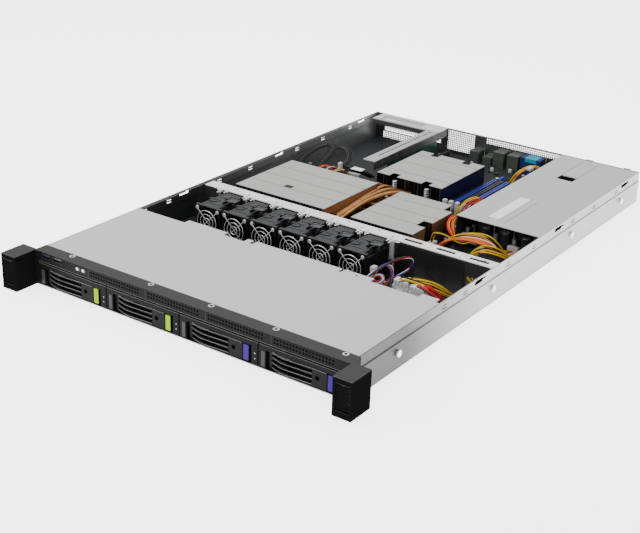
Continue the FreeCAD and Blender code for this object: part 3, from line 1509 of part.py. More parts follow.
def memory_sockets():
    """Memory sockets with card slits, and the latches at their front ends."""
    sockets = []
    latches = []
    for number in range(int(value("dimm_count"))):
        x = f"dimm_first + dimm_pitch * {number}"
        span = (f"{x} - dimm_width / 2", f"{x} + dimm_width / 2")
        top = f"{BOARD_TOP} + dimm_height"
        block = box(
            f"memory_block_{number}", span, ("dimm_front", "dimm_front + dimm_length"), (BOARD_TOP, top)
        )
        slit = box(
            f"memory_slit_{number}",
            (f"{x} - dimm_slit / 2", f"{x} + dimm_slit / 2"),
            ("dimm_front + dimm_slit_end", "dimm_front + dimm_length - dimm_slit_end"),
            (f"{BOARD_TOP} + dimm_slit_floor", f"{top} + 1"),
        )
        ends = ("dimm_front - dimm_latch_length", "dimm_front")
        cheeks = []
        for side, edge in (("left", span[0]), ("right", f"{span[1]} - dimm_cheek")):
            cheeks.append(
                box(
                    f"memory_cheek_{side}_{number}",
                    (edge, f"{edge} + dimm_cheek"),
                    ends,
                    (BOARD_TOP, top),
                ),
            )
        sockets.append(
            fuse(f"memory_socket_{number}", [cut(f"memory_rail_{number}", block, [slit])] + cheeks)
        )
        reach = "dimm_width / 2 - dimm_cheek - latch_gap"
        low = f"{BOARD_TOP} + latch_pin_level - latch_heel"
        latches.append(
            box(
                f"memory_latch_{number}",
                (f"{x} - ({reach})", f"{x} + {reach}"),
                ("dimm_front - dimm_latch_length + latch_gap", "dimm_front - latch_gap"),
                (low, f"{top} + dimm_latch"),
            )
        )
    node(group("memory_sockets", sockets))
    node(group("memory_latches", latches))


def riser():
    """Riser bracket: top arm, side flange and cross arm. The riser board hangs from the flange."""
    top = ("body_height - plate", "body_height")
    arm = box("riser_arm", ("riser_left", "riser_right"), ("riser_front", f"{REAR} - plate"), top)
    flange = box(
        "riser_side",
        ("riser_right - plate", "riser_right"),
        ("riser_front", f"{REAR} - plate"),
        ("body_height - riser_flange", "body_height"),
    )
    cross = box("riser_cross", ("cross_left", "riser_left"), ("cross_front", f"{REAR} - plate"), top)
    lip = ("body_height - cross_lip", "body_height")
    cross_lip = box(
        "riser_cross_lip", ("cross_left", "riser_left"), ("cross_front", "cross_front + plate"), lip
    )
    holes = []
    for number in range(2):
        y = f"riser_front + riser_hole_first + riser_hole_pitch * {number}"
        place = ("riser_right - plate - 1", y, "body_height - riser_flange / 2")
        holes.append(rod(f"riser_hole_{number}", "x", place, "riser_hole_radius", "plate + 2"))
    slot_left = "riser_left + long_slot_inset"
    slot = box(
        "riser_long_slot",
        (slot_left, f"{slot_left} + long_slot_width"),
        ("riser_front + long_slot_start", "cross_front"),
        ("body_height - plate - 1", "body_height + 1"),
    )
    node(cut("riser_bracket", fuse("riser_whole", [arm, flange, cross, cross_lip]), holes + [slot]))
    x = "riser_right - plate - board"
    along = ("riser_board_front", "riser_board_back")
    board = box("riser_card", (x, "riser_right - plate"), along, (BOARD_TOP, "body_height - plate"))
    middle = "(riser_board_front + riser_board_back) / 2"
    socket_z = "(card_bottom + card_top) / 2"
    socket = box(
        "riser_socket_block",
        (f"{x} - riser_slot_depth", x),
        (f"{middle} - riser_slot_length / 2", f"{middle} + riser_slot_length / 2"),
        (f"{socket_z} - riser_slot_height / 2", f"{socket_z} + riser_slot_height / 2"),
    )
    slit = box(
        "riser_socket_slit",
        (f"{x} - riser_slot_depth - 1", f"{x} - card_slit_floor"),
        (
            f"{middle} - riser_slot_length / 2 + card_slit_end",
            f"{middle} + riser_slot_length / 2 - card_slit_end",
        ),
        (f"{socket_z} - card_slit / 2", f"{socket_z} + card_slit / 2"),
    )
    node(fuse("riser_board", [board, cut("riser_socket", socket, [slit])]))


def psu_cage():
    """Folded power cage: left wall and top, with a window, its tongue, and the label tray's cut lines."""
    along = ("cage_front", f"{REAR} - plate")
    wall = box("cage_wall", ("cage_left", "cage_left + plate"), along, ("plate", CAGE_TOP))
    top = box("cage_top", ("cage_left", STRIP_IN), along, (f"{CAGE_TOP} - plate", CAGE_TOP))
    level = (f"{CAGE_TOP} - plate - 1", f"{CAGE_TOP} + 1")
    right = "lid_window_left + lid_window_width"
    behind = "lid_window_front + lid_window_length"
    tools = [box("lid_window", ("lid_window_left", right), ("lid_window_front", behind), level)]
    for side, x in (("left", "lid_window_left"), ("right", f"{right} - lid_line")):
        tools.append(
            box(f"lid_line_{side}", (x, f"{x} + lid_line"), (behind, f"{behind} + lid_tongue"), level)
        )
        y = ("tray_line_front", "tray_line_front + tray_line_length")
        tools.append(box(f"tray_line_{side}", (x, f"{x} + lid_line"), y, level))
    node(cut("psu_cage", fuse("psu_cage_whole", [wall, top]), tools))


def psu_module(number):
    """Power module: housing with a mains inlet, an air hole and a bent strap handle."""
    name = f"psu_module_{number + 1}"
    half = "module_width / 2"
    face = f"{REAR} + module_proud"
    low = MODULE_BOTTOM
    block = box(
        name + "_block", (f"-{half}", half), ("module_front", face), (low, f"{low} + module_height")
    )
    inlet_x = f"-{half} + inlet_left"
    inlet_z = f"{low} + inlet_bottom"
    inlet = box(
        name + "_inlet",
        (inlet_x, f"{inlet_x} + inlet_width"),
        (f"{face} - inlet_depth", f"{face} + 1"),
        (inlet_z, f"{inlet_z} + inlet_height"),
    )
    air_place = (f"{half} - module_fan - fan_rim", f"{face} - fan_depth", f"{low} + module_height / 2")
    hub = rod(name + "_air", "y", air_place, "module_fan", "fan_depth + 1")
    stem_x = f"-{half} + release_left + release_inset"
    guide = box(
        name + "_release_guide",
        (
            f"{stem_x} - release_fit",
            f"{stem_x} + release_width - 2 * release_inset + release_travel + release_fit",
        ),
        (f"{face} - release_stem - release_gap", f"{face} + 1"),
        (
            "release_bottom + release_inset - release_fit",
            "release_bottom + release_height - release_inset + release_fit",
        ),
    )
    strap = body_named(name + "_strap")
    line = [
        (0, "handle_bottom"),
        ("handle_reach", "handle_bottom"),
        ("handle_reach", "handle_top"),
        (0, "handle_top"),
    ]
    outer = outline(
        strap, name + "_strap_line", "YZ_Plane", line, lift="handle_offset - handle_width / 2"
    )
    blank = pad(strap, name + "_strap_blank", outer, "handle_width")
    doc.recompute()
    bends = []
    for index, edge in enumerate(blank.Shape.Edges):
        middle = edge.CenterOfMass
        if abs(edge.tangentAt(edge.FirstParameter).x) > 0.99 and middle.y > value("handle_reach") - 0.01:
            bends.append(f"Edge{index + 1}")
    rounded = strap.newObject("PartDesign::Fillet", name + "_strap_bends")
    rounded.Base = (blank, bends)
    bind(rounded, Radius="handle_round")
    grip = [
        (-1, "handle_bottom + handle_strap"),
        ("handle_reach - handle_strap", "handle_bottom + handle_strap"),
        ("handle_reach - handle_strap", "handle_top - handle_strap"),
        (-1, "handle_top - handle_strap"),
    ]
    grip_line = outline(strap, name + "_grip_line", "YZ_Plane", grip, lift="handle_offset + handle_width")
    pocket(strap, name + "_grip", grip_line, "handle_width * 2")
    at(strap, 0, face, 0)
    housing = cut(name + "_housing", block, [inlet, hub, guide])
    motor = rod(name + "_motor", "y", air_place, "motor_radius", "motor_length")
    node(at(fuse(name, [housing, motor, strap]), MODULE_MIDDLES[number]))


def psu_release(number):
    """Release tab of a power module, pressed sideways to free it; its tongue slides in the module face."""
    name = f"psu_latch_{number + 1}"
    face = f"{REAR} + module_proud"
    tab = box(
        name + "_tab",
        (0, "release_width"),
        ("release_gap", "release_gap + release_reach"),
        (0, "release_height"),
    )
    tongue = box(
        name + "_tongue",
        ("release_inset", "release_width - release_inset"),
        ("-release_stem", "release_gap"),
        ("release_inset", "release_height - release_inset"),
    )
    left = f"{MODULE_MIDDLES[number]} - module_width / 2 + release_left"
    node(at(fuse(name, [tab, tongue]), left, face, "release_bottom"))


def power_board():
    """Power distribution board with its heat sinks, capacitors and coils."""
    low = "plate + power_lift"
    left = "cage_left + plate + power_margin"
    board = box(
        "power_plate", (left, "power_right"), ("power_front", "power_back"), (low, f"{low} + board")
    )
    top = f"{low} + board"
    pieces = [board]
    for across, x in enumerate((f"{left} + power_stud_margin", "power_right - power_stud_margin")):
        for along, y in enumerate(("power_front + power_stud_margin", "power_back - power_stud_margin")):
            name = f"power_stud_{across}{along}"
            pieces.append(hexagon(name, (x, y, "plate"), "standoff_radius", "power_lift"))
    for number in range(3):
        x = f"{left} + sink_first + sink_pitch * {number}"
        sink_y = ("power_front + sink_front", "power_front + sink_front + sink_length")
        pieces.append(
            box(f"power_sink_{number}", (x, f"{x} + sink_width"), sink_y, (top, f"{top} + sink_height"))
        )
        centre = (f"{x} + sink_pitch / 2", "power_front + capacitor_y", top)
        pieces.append(
            rod(f"power_capacitor_{number}", "z", centre, "capacitor_radius", "capacitor_height")
        )
    coil_x = ("power_right - coil_inset - coil", "power_right - coil_inset")
    coil_y = ("power_back - coil_inset - coil", "power_back - coil_inset")
    pieces.append(box("power_coil", coil_x, coil_y, (top, f"{top} + coil_height")))
    node(fuse("power_board", pieces))


# How much of the shorter run beside a corner its arc takes.
ARC_SHARE = 0.45


def lead(name, route, radius):
    """A six-sided lead whose arcs are as large as their runs allow."""
    corners = [Vector(*(value(text) for text in point)) for point in route]
    runs = [after - before for before, after in zip(corners, corners[1:])]
    bends = []
    for arriving, leaving in zip(runs, runs[1:]):
        shorter = min(arriving.Length, leaving.Length)
        bends.append(ARC_SHARE * shorter / math.tan(arriving.getAngle(leaving) / 2))
    forward = Vector(runs[0]).normalize()
    side = forward.cross(Vector(0, 1, 0) if abs(forward.z) > 0.5 else Vector(0, 0, 1)).normalize()
    rise = side.cross(forward)
    rim = []
    for corner in range(7):
        turn = math.pi / 3 * corner
        rim.append(corners[0] + (side * math.cos(turn) + rise * math.sin(turn)) * radius)
    section = Part.Face(Part.makePolygon(rim))
    path = bent_path(corners, bends)
    tube = path.makePipe(section)
    share = tube.Volume / (section.Area * path.Length)
    print(f"{name}: length {path.Length:.0f}, tightest bend {min(bends):.1f}, filled {share:.3f}")
    return tube


# Headers for the leads on the motherboard: name, centre along and length.
BOARD_HEADERS = (("front", 338, 20), ("middle", 364.5, 14), ("rear", 433, 12))
POWER_DECK = "plate + power_lift + board"
HEADER_MIDDLE = "right_stack_right + board_header_gap + board_header / 2"


def lead_headers():
    """Headers on the power board, and others on the motherboard beside the right fin stack."""
    headers = []
    along = ("power_front", "power_front + header_depth")
    rise = (POWER_DECK, f"{POWER_DECK} + header_height")
    for name in ("left", "middle", "right"):
        reach = f"{name}_header_width / 2"
        across = (f"{name}_header - {reach}", f"{name}_header + {reach}")
        headers.append(box(f"power_header_{name}", across, along, rise))
    across = (f"{HEADER_MIDDLE} - board_header / 2", f"{HEADER_MIDDLE} + board_header / 2")
    rise = (BOARD_TOP, f"{BOARD_TOP} + board_header_height")
    for name, y, length in BOARD_HEADERS:
        along = (f"{y} - {length} / 2", f"{y} + {length} / 2")
        headers.append(box(f"board_header_{name}", across, along, rise))
    return headers


def drive_leads():
    """Two pairs of leads from the power plugs, down beside the wall and through the cable way.

    The first pair goes over in an arch before it meets its header.
    """
    low = f"{POWER_DECK} + lead_low"
    high = f"{POWER_DECK} + lead_high"
    way = "(cable_way_left + cable_way_right) / 2"
    leads = []
    x, y, top = POWER_PLUGS[0]
    for side, lane in ((-1, -1), (1, -6.5)):
        exit_x, exit_y = x + 4 * side, y + 2.5 * side
        down, over = f"{way} + ({lane})", f"wall_front + ({lane})"
        route = [
            (exit_x, exit_y, top),
            (exit_x, exit_y, top + 6),
            (exit_x + 7, exit_y + 1.2 + 1.2 * side, top + 9.5),
            (exit_x + 34 - 3 * side, exit_y + 10 + 2 * side, top + 5.5 + 1.5 * side),
            (down, y + 28 + 3 * side, 20),
            (down, y + 56, 8),
            (down, "wall_front + 14", 8),
            (f"{way} - 24", f"{over} + 32", 9),
            (f"{way} - 32", f"{over} + 38", 24),
            (f"{way} - 20", f"{over} + 47", 38),
            (f"{way} + 2 + 2.5 * {side}", f"{over} + 52", 33),
            (f"{way} + 3 - ({lane})", "wall_front + 78", 20),
            (f"right_header + {3.4 * side}", "wall_front + 102", high),
            (f"right_header + {3.4 * side}", "power_front", high),
        ]
        leads.append(lead("arched_drive_lead", route, value("lead_radius")))
    x, y, top = POWER_PLUGS[1]
    for side, lane in ((-1, 9.5), (1, 4.5)):
        exit_x, exit_y = x + 3.5 * side, y + 2.5 * side
        route = [
            (exit_x, exit_y, top),
            (exit_x, exit_y, top + 6),
            (exit_x + 7, exit_y, top + 9),
            (exit_x + 20 - 4 * side, exit_y + 2 * side, top + 4),
            (f"{way} + ({lane})", y + 12 + 4 * side, 16),
            (f"{way} + ({lane})", y + 52, 15),
            (f"{way} + ({lane})", "wall_front + 20", 15),
            (f"{way} + ({lane})", "wall_front + 62", low),
            (f"right_header + {-3.4 * side}", "wall_front + 98", low),
            (f"right_header + {-3.4 * side}", "power_front", low),
        ]
        leads.append(lead("straight_drive_lead", route, value("lead_radius")))
    return leads


def main_leads():
    """Leads side by side from the power board forward, up in a wide arch and down to the motherboard."""
    middle = f"{POWER_DECK} + header_height / 2"
    end = f"{HEADER_MIDDLE} + board_header / 2"
    leads = []
    for number in range(4):
        x = f"middle_header + (1.5 - {number}) * main_lead_pitch"
        crest = f"right_stack_front + 26 + 6 * {number}"
        landing = BOARD_HEADERS[0][1] - 6.9 + 4.6 * number
        route = [
            (x, "power_front", middle),
            (x, "power_front - 14", middle),
            (f"{x} + 3", f"{crest} + 16", 22),
            (f"{x} - 6", f"{crest} + 3", 38),
            ("middle_header - 27", f"{crest} - 2", 40),
            ("middle_header - 51", f"{crest} - 10", 36),
            (f"{end} + 15.5", landing, 22),
            (f"{end} + 8", landing, 13),
            (end, landing, 13),
        ]
        leads.append(lead("main_lead", route, value("lead_radius")))
    return leads


def side_leads():
    """Leads up out of the headers beside the right fin stack and over to the power board."""
    low = f"{POWER_DECK} + lead_low"
    high = f"{POWER_DECK} + lead_high"
    roof = f"{BOARD_TOP} + board_header_height"
    y = BOARD_HEADERS[1][1]
    middle = [
        (HEADER_MIDDLE, y, roof),
        (HEADER_MIDDLE, y, 30),
        (f"{HEADER_MIDDLE} + 12", y + 4, 31),
        ("left_header + 6", y + 14, 18),
        ("left_header + 8", y + 34, high),
        ("left_header + 8", "power_front", high),
    ]
    leads = [lead("middle_lead", middle, value("thin_lead_radius"))]
    y = BOARD_HEADERS[2][1]
    for side, reach in ((-1, 5), (1, 0)):
        x = f"{HEADER_MIDDLE} + {2.2 * side}"
        finish = f"left_header - 3 - {2.3 * side}"
        route = [
            (x, y, roof),
            (x, y, 30),
            (f"{x} + 0.5", y - 18, 36),
            (f"{x} + 6", y - 36 - reach, 34),
            (f"left_header - 6 - {side}", y - 46 - reach, 22),
            (finish, y - 35, low),
            (finish, "power_front", low),
        ]
        leads.append(lead("rear_lead", route, value("lead_radius")))
    return leads


def fan_leads():
    """Bunched leads from the backplane, standing up in a loop beside the last fan."""
    behind = "backplane_y + board"
    x = f"{fan_x(5)} + fan_size / 2"
    route = [
        (f"{x} + 30", behind, 22),
        (f"{x} + 30", f"{behind} + 16", 22),
        (f"{x} + 20", f"{behind} + 34", 18),
        (f"{x} + 18", f"{behind} + 52", 29),
        (f"{x} + 27", f"{behind} + 66", 37),
        (f"{x} + 39", f"{behind} + 58", 27),
        (f"{x} + 35", f"{behind} + 48", 11),
        (f"{x} + 16", f"{behind} + 66", 8),
        (x, f"{behind} + 66", 8),
    ]
    return [lead("fan_lead", route, value("lead_radius"))]


def wiring_harness():
    """Leads from the power board to the drives and the motherboard, and the fan leads."""
    piece = doc.addObject("Part::Feature", "leads")
    piece.Shape = Part.makeCompound(drive_leads() + main_leads() + side_leads() + fan_leads())
    node(group("wiring_harness", lead_headers() + [piece]))


floor_pan()
side_walls()
rear_panel()
rear_io_ports()
rail_studs()
rack_ears()
front_bezel()
cover_screws()
front_ports()
front_buttons()
drive_cage()
drive_cage_cover()
for bay in range(4):
    drive_tray(bay)
    tray_lever(bay)
    tray_latch(bay)
drive_backplane()
backplane_connectors()
fan_frames()
finger_guards()
for fan in range(6):
    rotor("intake_rotor", fan, f"{FAN_HALFWAY} - cup_length / 2 - rotor_gap - hub_length", 1)
    rotor("exhaust_rotor", fan, f"{FAN_HALFWAY} + cup_length / 2 + rotor_gap", -1)
fan_wall()
baffle_sheet()
motherboard()
cpu_cooler()
fin_stacks()
heat_pipes()
memory_sockets()
riser()
psu_cage()
for slot in range(2):
    psu_module(slot)
    psu_release(slot)
power_board()
wiring_harness()

doc.recompute()

faults = [item.Name for item in doc.Objects if "Invalid" in item.State or "Error" in item.State]
for piece in nodes:
    if piece.Shape.isNull() or not piece.Shape.isValid():
        faults.append(piece.Label)
if faults:
    raise SystemExit("failed: " + ", ".join(faults))

os.makedirs("parts", exist_ok=True)
for piece in nodes:
    piece.Shape.exportStep(f"parts/{piece.Label}.step")
    size = piece.Shape.BoundBox
    extent = f"{size.XLength:.1f} x {size.YLength:.1f} x {size.ZLength:.1f}"
    print(f"{piece.Label}: {extent}, {len(piece.Shape.Solids)} solids")
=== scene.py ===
import bpy
import math
import random
from mathutils import Matrix, Vector


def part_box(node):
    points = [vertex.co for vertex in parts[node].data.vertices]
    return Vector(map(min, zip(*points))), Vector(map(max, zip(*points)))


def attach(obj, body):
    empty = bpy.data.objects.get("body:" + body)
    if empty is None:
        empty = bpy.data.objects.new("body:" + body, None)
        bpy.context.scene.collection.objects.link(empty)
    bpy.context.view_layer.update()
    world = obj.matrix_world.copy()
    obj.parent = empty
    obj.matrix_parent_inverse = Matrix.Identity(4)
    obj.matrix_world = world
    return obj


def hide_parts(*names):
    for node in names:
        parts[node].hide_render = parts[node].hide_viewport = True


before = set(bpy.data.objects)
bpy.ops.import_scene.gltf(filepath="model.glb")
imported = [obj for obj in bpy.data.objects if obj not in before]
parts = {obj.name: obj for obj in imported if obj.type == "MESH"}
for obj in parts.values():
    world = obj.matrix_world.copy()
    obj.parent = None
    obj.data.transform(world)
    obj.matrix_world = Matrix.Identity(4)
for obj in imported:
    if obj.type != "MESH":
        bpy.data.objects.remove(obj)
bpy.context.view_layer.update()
MM = 0.001


# Studio
# A plain pale floor, an even white room and two large soft lamps.
# The camera stands where the photograph was taken from.
def deselect():
    if bpy.context.mode != "OBJECT":
        bpy.ops.object.mode_set(mode="OBJECT")
    bpy.ops.object.select_all(action="DESELECT")


AZIMUTH, ELEVATION, ROLL = (math.radians(angle) for angle in (34.6865, 23.8894, 1.9641))
STAND = (0.79835, -0.89823, 0.61658)
FOCAL_PIXELS, PHOTO_WIDTH, SENSOR = 1252.973, 640, 36
back = Vector((
    math.sin(AZIMUTH) * math.cos(ELEVATION), -math.cos(AZIMUTH) * math.cos(ELEVATION), math.sin(ELEVATION),
))
level_right = Vector((0, 0, 1)).cross(back).normalized()
level_up = back.cross(level_right)
right = math.cos(ROLL) * level_right + math.sin(ROLL) * level_up
up = math.cos(ROLL) * level_up - math.sin(ROLL) * level_right
eye = bpy.data.cameras.new("photo_camera")
eye.sensor_width = SENSOR
eye.lens = FOCAL_PIXELS * SENSOR / PHOTO_WIDTH
eye.clip_start = 0.01
eye.clip_end = 20
camera = bpy.data.objects.new("photo_camera", eye)
bpy.context.scene.collection.objects.link(camera)
camera.matrix_world = Matrix.Translation(STAND) @ Matrix((right, up, back)).transposed().to_4x4()
bpy.context.scene.camera = camera

deselect()
bpy.ops.mesh.primitive_plane_add(size=60, location=(0, 0.3, -0.0002))
floor = bpy.context.object
floor.name = "studio_floor"
paper = bpy.data.materials.new("pale_paper")
paper.use_nodes = True
paper_inputs = paper.node_tree.nodes["Principled BSDF"].inputs
paper_inputs["Base Color"].default_value = (0.97, 0.97, 0.97, 1)
paper_inputs["Roughness"].default_value = 0.9
paper_inputs["Emission Color"].default_value = (1, 1, 1, 1)
paper_inputs["Emission Strength"].default_value = 3.0
floor.data.materials.append(paper)

room = bpy.data.worlds.new("white_room")
room.use_nodes = True
room.node_tree.nodes["Background"].inputs["Color"].default_value = (1, 1, 1, 1)
room.node_tree.nodes["Background"].inputs["Strength"].default_value = 1.1
bpy.context.scene.world = room


def softbox(name, place, aim, size, power):
    lamp = bpy.data.lights.new(name, "AREA")
    lamp.shape = "RECTANGLE"
    lamp.size, lamp.size_y = size
    lamp.energy = power
    holder = bpy.data.objects.new(name, lamp)
    holder.location = place
    holder.rotation_euler = (Vector(aim) - Vector(place)).to_track_quat("-Z", "Y").to_euler()
    bpy.context.scene.collection.objects.link(holder)


softbox("top_softbox", (-0.4, 0.5, 1.6), (0, 0.35, 0), (1.6, 1.2), 20)
softbox("front_softbox", (-0.9, -1.3, 0.9), (0, 0, 0), (1.2, 0.8), 12)


# Sheet steel
# Floor, walls, rear panel, riser bracket, drive cage and fan wall: zinc-coated
# steel, cut and folded, with a fine rolled grain and faint handling marks, and
# painted shade on faces inside the housing.
class Value:
    """One socket of a finish. Sums on it add Math nodes, and node() adds any other."""

    def __init__(self, tree, socket):
        self.tree, self.socket = tree, socket

    def node(self, kind, sockets, output=0, **settings):
        made = self.tree.nodes.new(kind)
        for name, setting in settings.items():
            setattr(made, name, setting)
        for name, value in sockets.items():
            if isinstance(value, Value):
                self.tree.links.new(value.socket, made.inputs[name])
            else:
                made.inputs[name].default_value = value
        return Value(self.tree, made.outputs[output])

    def maths(self, operation, first, second=0.0):
        return self.node("ShaderNodeMath", {0: first, 1: second}, operation=operation)

    def __add__(self, other):
        return self.maths("ADD", self, other)

    def __radd__(self, other):
        return self.maths("ADD", other, self)

    def __sub__(self, other):
        return self.maths("SUBTRACT", self, other)

    def __rsub__(self, other):
        return self.maths("SUBTRACT", other, self)

    def __mul__(self, other):
        return self.maths("MULTIPLY", self, other)

    def __rmul__(self, other):
        return self.maths("MULTIPLY", other, self)

    def __truediv__(self, other):
        return self.maths("DIVIDE", self, other)

    def __gt__(self, other):
        return self.maths("GREATER_THAN", self, other)

    def __lt__(self, other):
        return self.maths("LESS_THAN", self, other)

    def __mod__(self, other):
        return self.maths("FLOORED_MODULO", self, other)

    def __abs__(self):
        return self.maths("ABSOLUTE", self)

    def within(self, low, high):
        """One between two numbers and nothing elsewhere."""
        return (self > low) * (self < high)

    def shade(self, dark, light):
        """A colour between two, by this number."""
        return self.node(
            "ShaderNodeMix", {0: self, 6: (*dark, 1), 7: (*light, 1)}, output=2, data_type="RGBA"
        )

    def over(self, under, upper):
        """A colour over another, by this number."""
        sockets = {0: self}
        for number, tint in ((6, under), (7, upper)):
            sockets[number] = tint if isinstance(tint, Value) else (*tint, 1)
        return self.node("ShaderNodeMix", sockets, output=2, data_type="RGBA")

    def noise(self, scale, detail=3.0, stretch=(1, 1, 1)):
        """Even noise over the piece, in cells per metre."""
        placed = self.node("ShaderNodeMapping", {"Vector": self, "Scale": stretch})
        return self.node("ShaderNodeTexNoise", {"Vector": placed, "Scale": scale, "Detail": detail})

    def bump(self, depth, strength=1.0):
        """A normal from a height in metres."""
        return self.node("ShaderNodeBump", {"Height": self, "Distance": depth, "Strength": strength})

    def along(self, axis):
        """One coordinate of a place, in millimetres."""
        return self.node("ShaderNodeSeparateXYZ", {0: self}, output="XYZ".index(axis)) * 1000.0


class Finish:
    """A material with its shader and the place of each point on the piece."""

    def __init__(self, name, roughness=0.5, metallic=0.0, colour=(0.5, 0.5, 0.5), coat=0.0):
        self.material = bpy.data.materials.new(name)
        self.material.use_nodes = True
        self.tree = self.material.node_tree
        self.shader = self.tree.nodes["Principled BSDF"]
        self.set("Roughness", roughness)
        self.set("Metallic", metallic)
        self.set("Base Color", (*colour, 1))
        self.set("Coat Weight", coat)
        source = self.tree.nodes.new("ShaderNodeTexCoord")
        self.place = Value(self.tree, source.outputs["Object"])

    def set(self, name, value):
        if isinstance(value, Value):
            self.tree.links.new(value.socket, self.shader.inputs[name])
        else:
            self.shader.inputs[name].default_value = value

    def coordinates(self):
        """The place across, along and up the object, in millimetres."""
        return [self.place.along(axis) for axis in "XYZ"]

    def roughen(self, least, spread, scale):
        """Even changes of roughness, in cells per metre."""
        self.set("Roughness", least + self.place.noise(scale, 2) * spread)


def dress(finish, *names):
    """Give CAD pieces a finish."""
    for name in names:
        for slot in parts[name].material_slots:
            slot.material = finish.material


INNER_SHADE = (0.05, 0.052, 0.055)
ZINC_DARK, ZINC_LIGHT = (0.36, 0.36, 0.355), (0.46, 0.46, 0.455)
ROLLED = (1, 0.15, 1)


def shade_inside(finish, test, dark=INNER_SHADE):
    """Paint shade on the faces that look into the housing, which see only its dark insides."""
    finish.shade_node = test.over(finish.shade_node, dark)
    finish.set("Base Color", finish.shade_node)


def sheet_metal(name, dark, light, roughness, metallic, grain=(1, 1, 1)):
    """Plated or painted sheet: faint mottling, fine grain, tiny height changes."""
    finish = Finish(name, roughness, metallic)
    mottle = finish.place.noise(26, 4)
    fine = finish.place.noise(900, 2, grain)
    finish.shade_node = (mottle * 0.7 + fine * 0.3).shade(dark, light)
    finish.set("Base Color", finish.shade_node)
    finish.set("Roughness", roughness - 0.06 + fine * 0.12)
    finish.set("Normal", fine.bump(0.00003, 0.35))
    return finish


def air_grid(first, second, pitch, reach):
    """Square air holes in a grid over two coordinates."""
    return (abs(first % pitch - pitch / 2) < reach) * (abs(second % pitch - pitch / 2) < reach)


zinc = sheet_metal("zinc_coated_steel", ZINC_DARK, ZINC_LIGHT, 0.4, 0.5, ROLLED)
dress(zinc, "drive_cage")
floor_steel = sheet_metal("floor_steel", ZINC_DARK, ZINC_LIGHT, 0.4, 0.5, ROLLED)
height, along = floor_steel.place.along("Z"), floor_steel.place.along("Y")
# The floor pan's faces above its base, inside the housing, carry painted shade.
shade_inside(floor_steel, height.within(0.6, 40) * (along > 5))
dress(floor_steel, "floor_pan")
left_steel = sheet_metal("left_wall_steel", ZINC_DARK, ZINC_LIGHT, 0.36, 0.5, ROLLED)
across, along, height = left_steel.coordinates()
# The left wall's inner face carries painted shade, darkest towards the front.
inner_wall_shade = ((along - 270) / 130.0).over((0.04, 0.041, 0.043), (0.22, 0.223, 0.228))
shade_inside(left_steel, (across > -218.6) * (height < 40), inner_wall_shade)
dress(left_steel, "left_side_wall")

# The right wall carries painted shade near the front, has round holes painted
# dark as shade, and keeps a pale strip above STRIP_LEVEL on its inner side,
# with painted shade on the inner faces below it and below the rim.
STRIP_LEVEL = 30.6
SIDE_HOLES = ((117, 21, 1.5), (306, 9, 1.1), (318, 27, 1.1), (300, 31, 1.0), (528, 12, 1.1), (610, 26, 1.1))
side_steel = sheet_metal("side_wall_steel", (0.35, 0.35, 0.345), (0.43, 0.43, 0.425), 0.42, 0.5, ROLLED)
across, along, height = side_steel.coordinates()
# Painted shade darkens the front of the wall.
side_steel.shade_node = ((along - 100) / 170.0).over((0.055, 0.056, 0.056), side_steel.shade_node)
# The round holes are only painted, dark as shade.
for hole_y, hole_z, reach in SIDE_HOLES:
    off_y, off_z = along - hole_y, height - hole_z
    in_hole = off_y * off_y + off_z * off_z < reach * reach
    side_steel.shade_node = in_hole.over(side_steel.shade_node, (0.02, 0.02, 0.02))
below_strip = (across < 218.5) * (height < STRIP_LEVEL)
below_rim = (across < 217.2) * (height < 42.2)
shade_inside(side_steel, below_strip + below_rim > 0.5, (0.07, 0.07, 0.072))
dress(side_steel, "right_side_wall")

# A lighter copy of the zinc steel, painted highlight on tabs, rails and hooks.
highlit_zinc = sheet_metal("highlit_zinc_steel", (0.62, 0.62, 0.61), (0.8, 0.8, 0.79), 0.3, 0.5)
# The fan wall's zinc is painted lighter as a highlight on its top, and its faces below the rim carry painted
# shade.
wall_zinc = sheet_metal("wall_zinc_steel", (0.82, 0.82, 0.81), (0.95, 0.95, 0.94), 0.34, 0.2)
shade_inside(wall_zinc, wall_zinc.place.along("Z") < 42.3, (0.03, 0.03, 0.032))
dress(wall_zinc, "fan_wall")

# The rear wall has a square grid of air holes beside and above the ports, and
# the cross arm of the riser bracket has a grid of its own.
pierced = sheet_metal("pierced_zinc_steel", (0.34, 0.34, 0.335), (0.44, 0.44, 0.435), 0.4, 0.5)
across, along, height = pierced.coordinates()
beside = across.within(-88, -42) * height.within(11, 41)
low_left = across.within(-205, -110) * height.within(5, 15)
above = across.within(-22, 98) * height.within(33.5, 41)
pierced.set("Alpha", 1 - air_grid(across, height, 3.2, 1.15) * (beside + above + low_left))
# The rear wall's faces inside the housing carry painted shade.
shade_inside(pierced, (along < 716.9) * (height < 42), (0.06, 0.062, 0.065))
dress(pierced, "rear_panel")

arm_steel = sheet_metal("pierced_arm_steel", (0.38, 0.38, 0.375), (0.5, 0.5, 0.495), 0.36, 0.5)
across, along, height = arm_steel.coordinates()
field = across.within(-196, -122) * along.within(688, 707)
arm_steel.set("Alpha", 1 - air_grid(across, along, 3.4, 1.2) * field)
# Painted highlight lightens the arm behind 686 mm, and its faces below the rim carry painted shade.
arm_steel.shade_node = (along > 686).over(arm_steel.shade_node, (0.72, 0.72, 0.71))
shade_inside(arm_steel, height < 42.2, (0.075, 0.077, 0.08))
dress(arm_steel, "riser_bracket")


# Rack ears
# Black moulded ears screwed to the side walls, with a painted highlight on top.
# Thin grey rims with painted highlight lie above, below and to the right of each
# face's inset panel.
DULL, MATT = 0.16, 0.05
EAR_DARK, EAR_LIGHT = (0.003, 0.003, 0.0032), (0.0055, 0.0055, 0.0058)


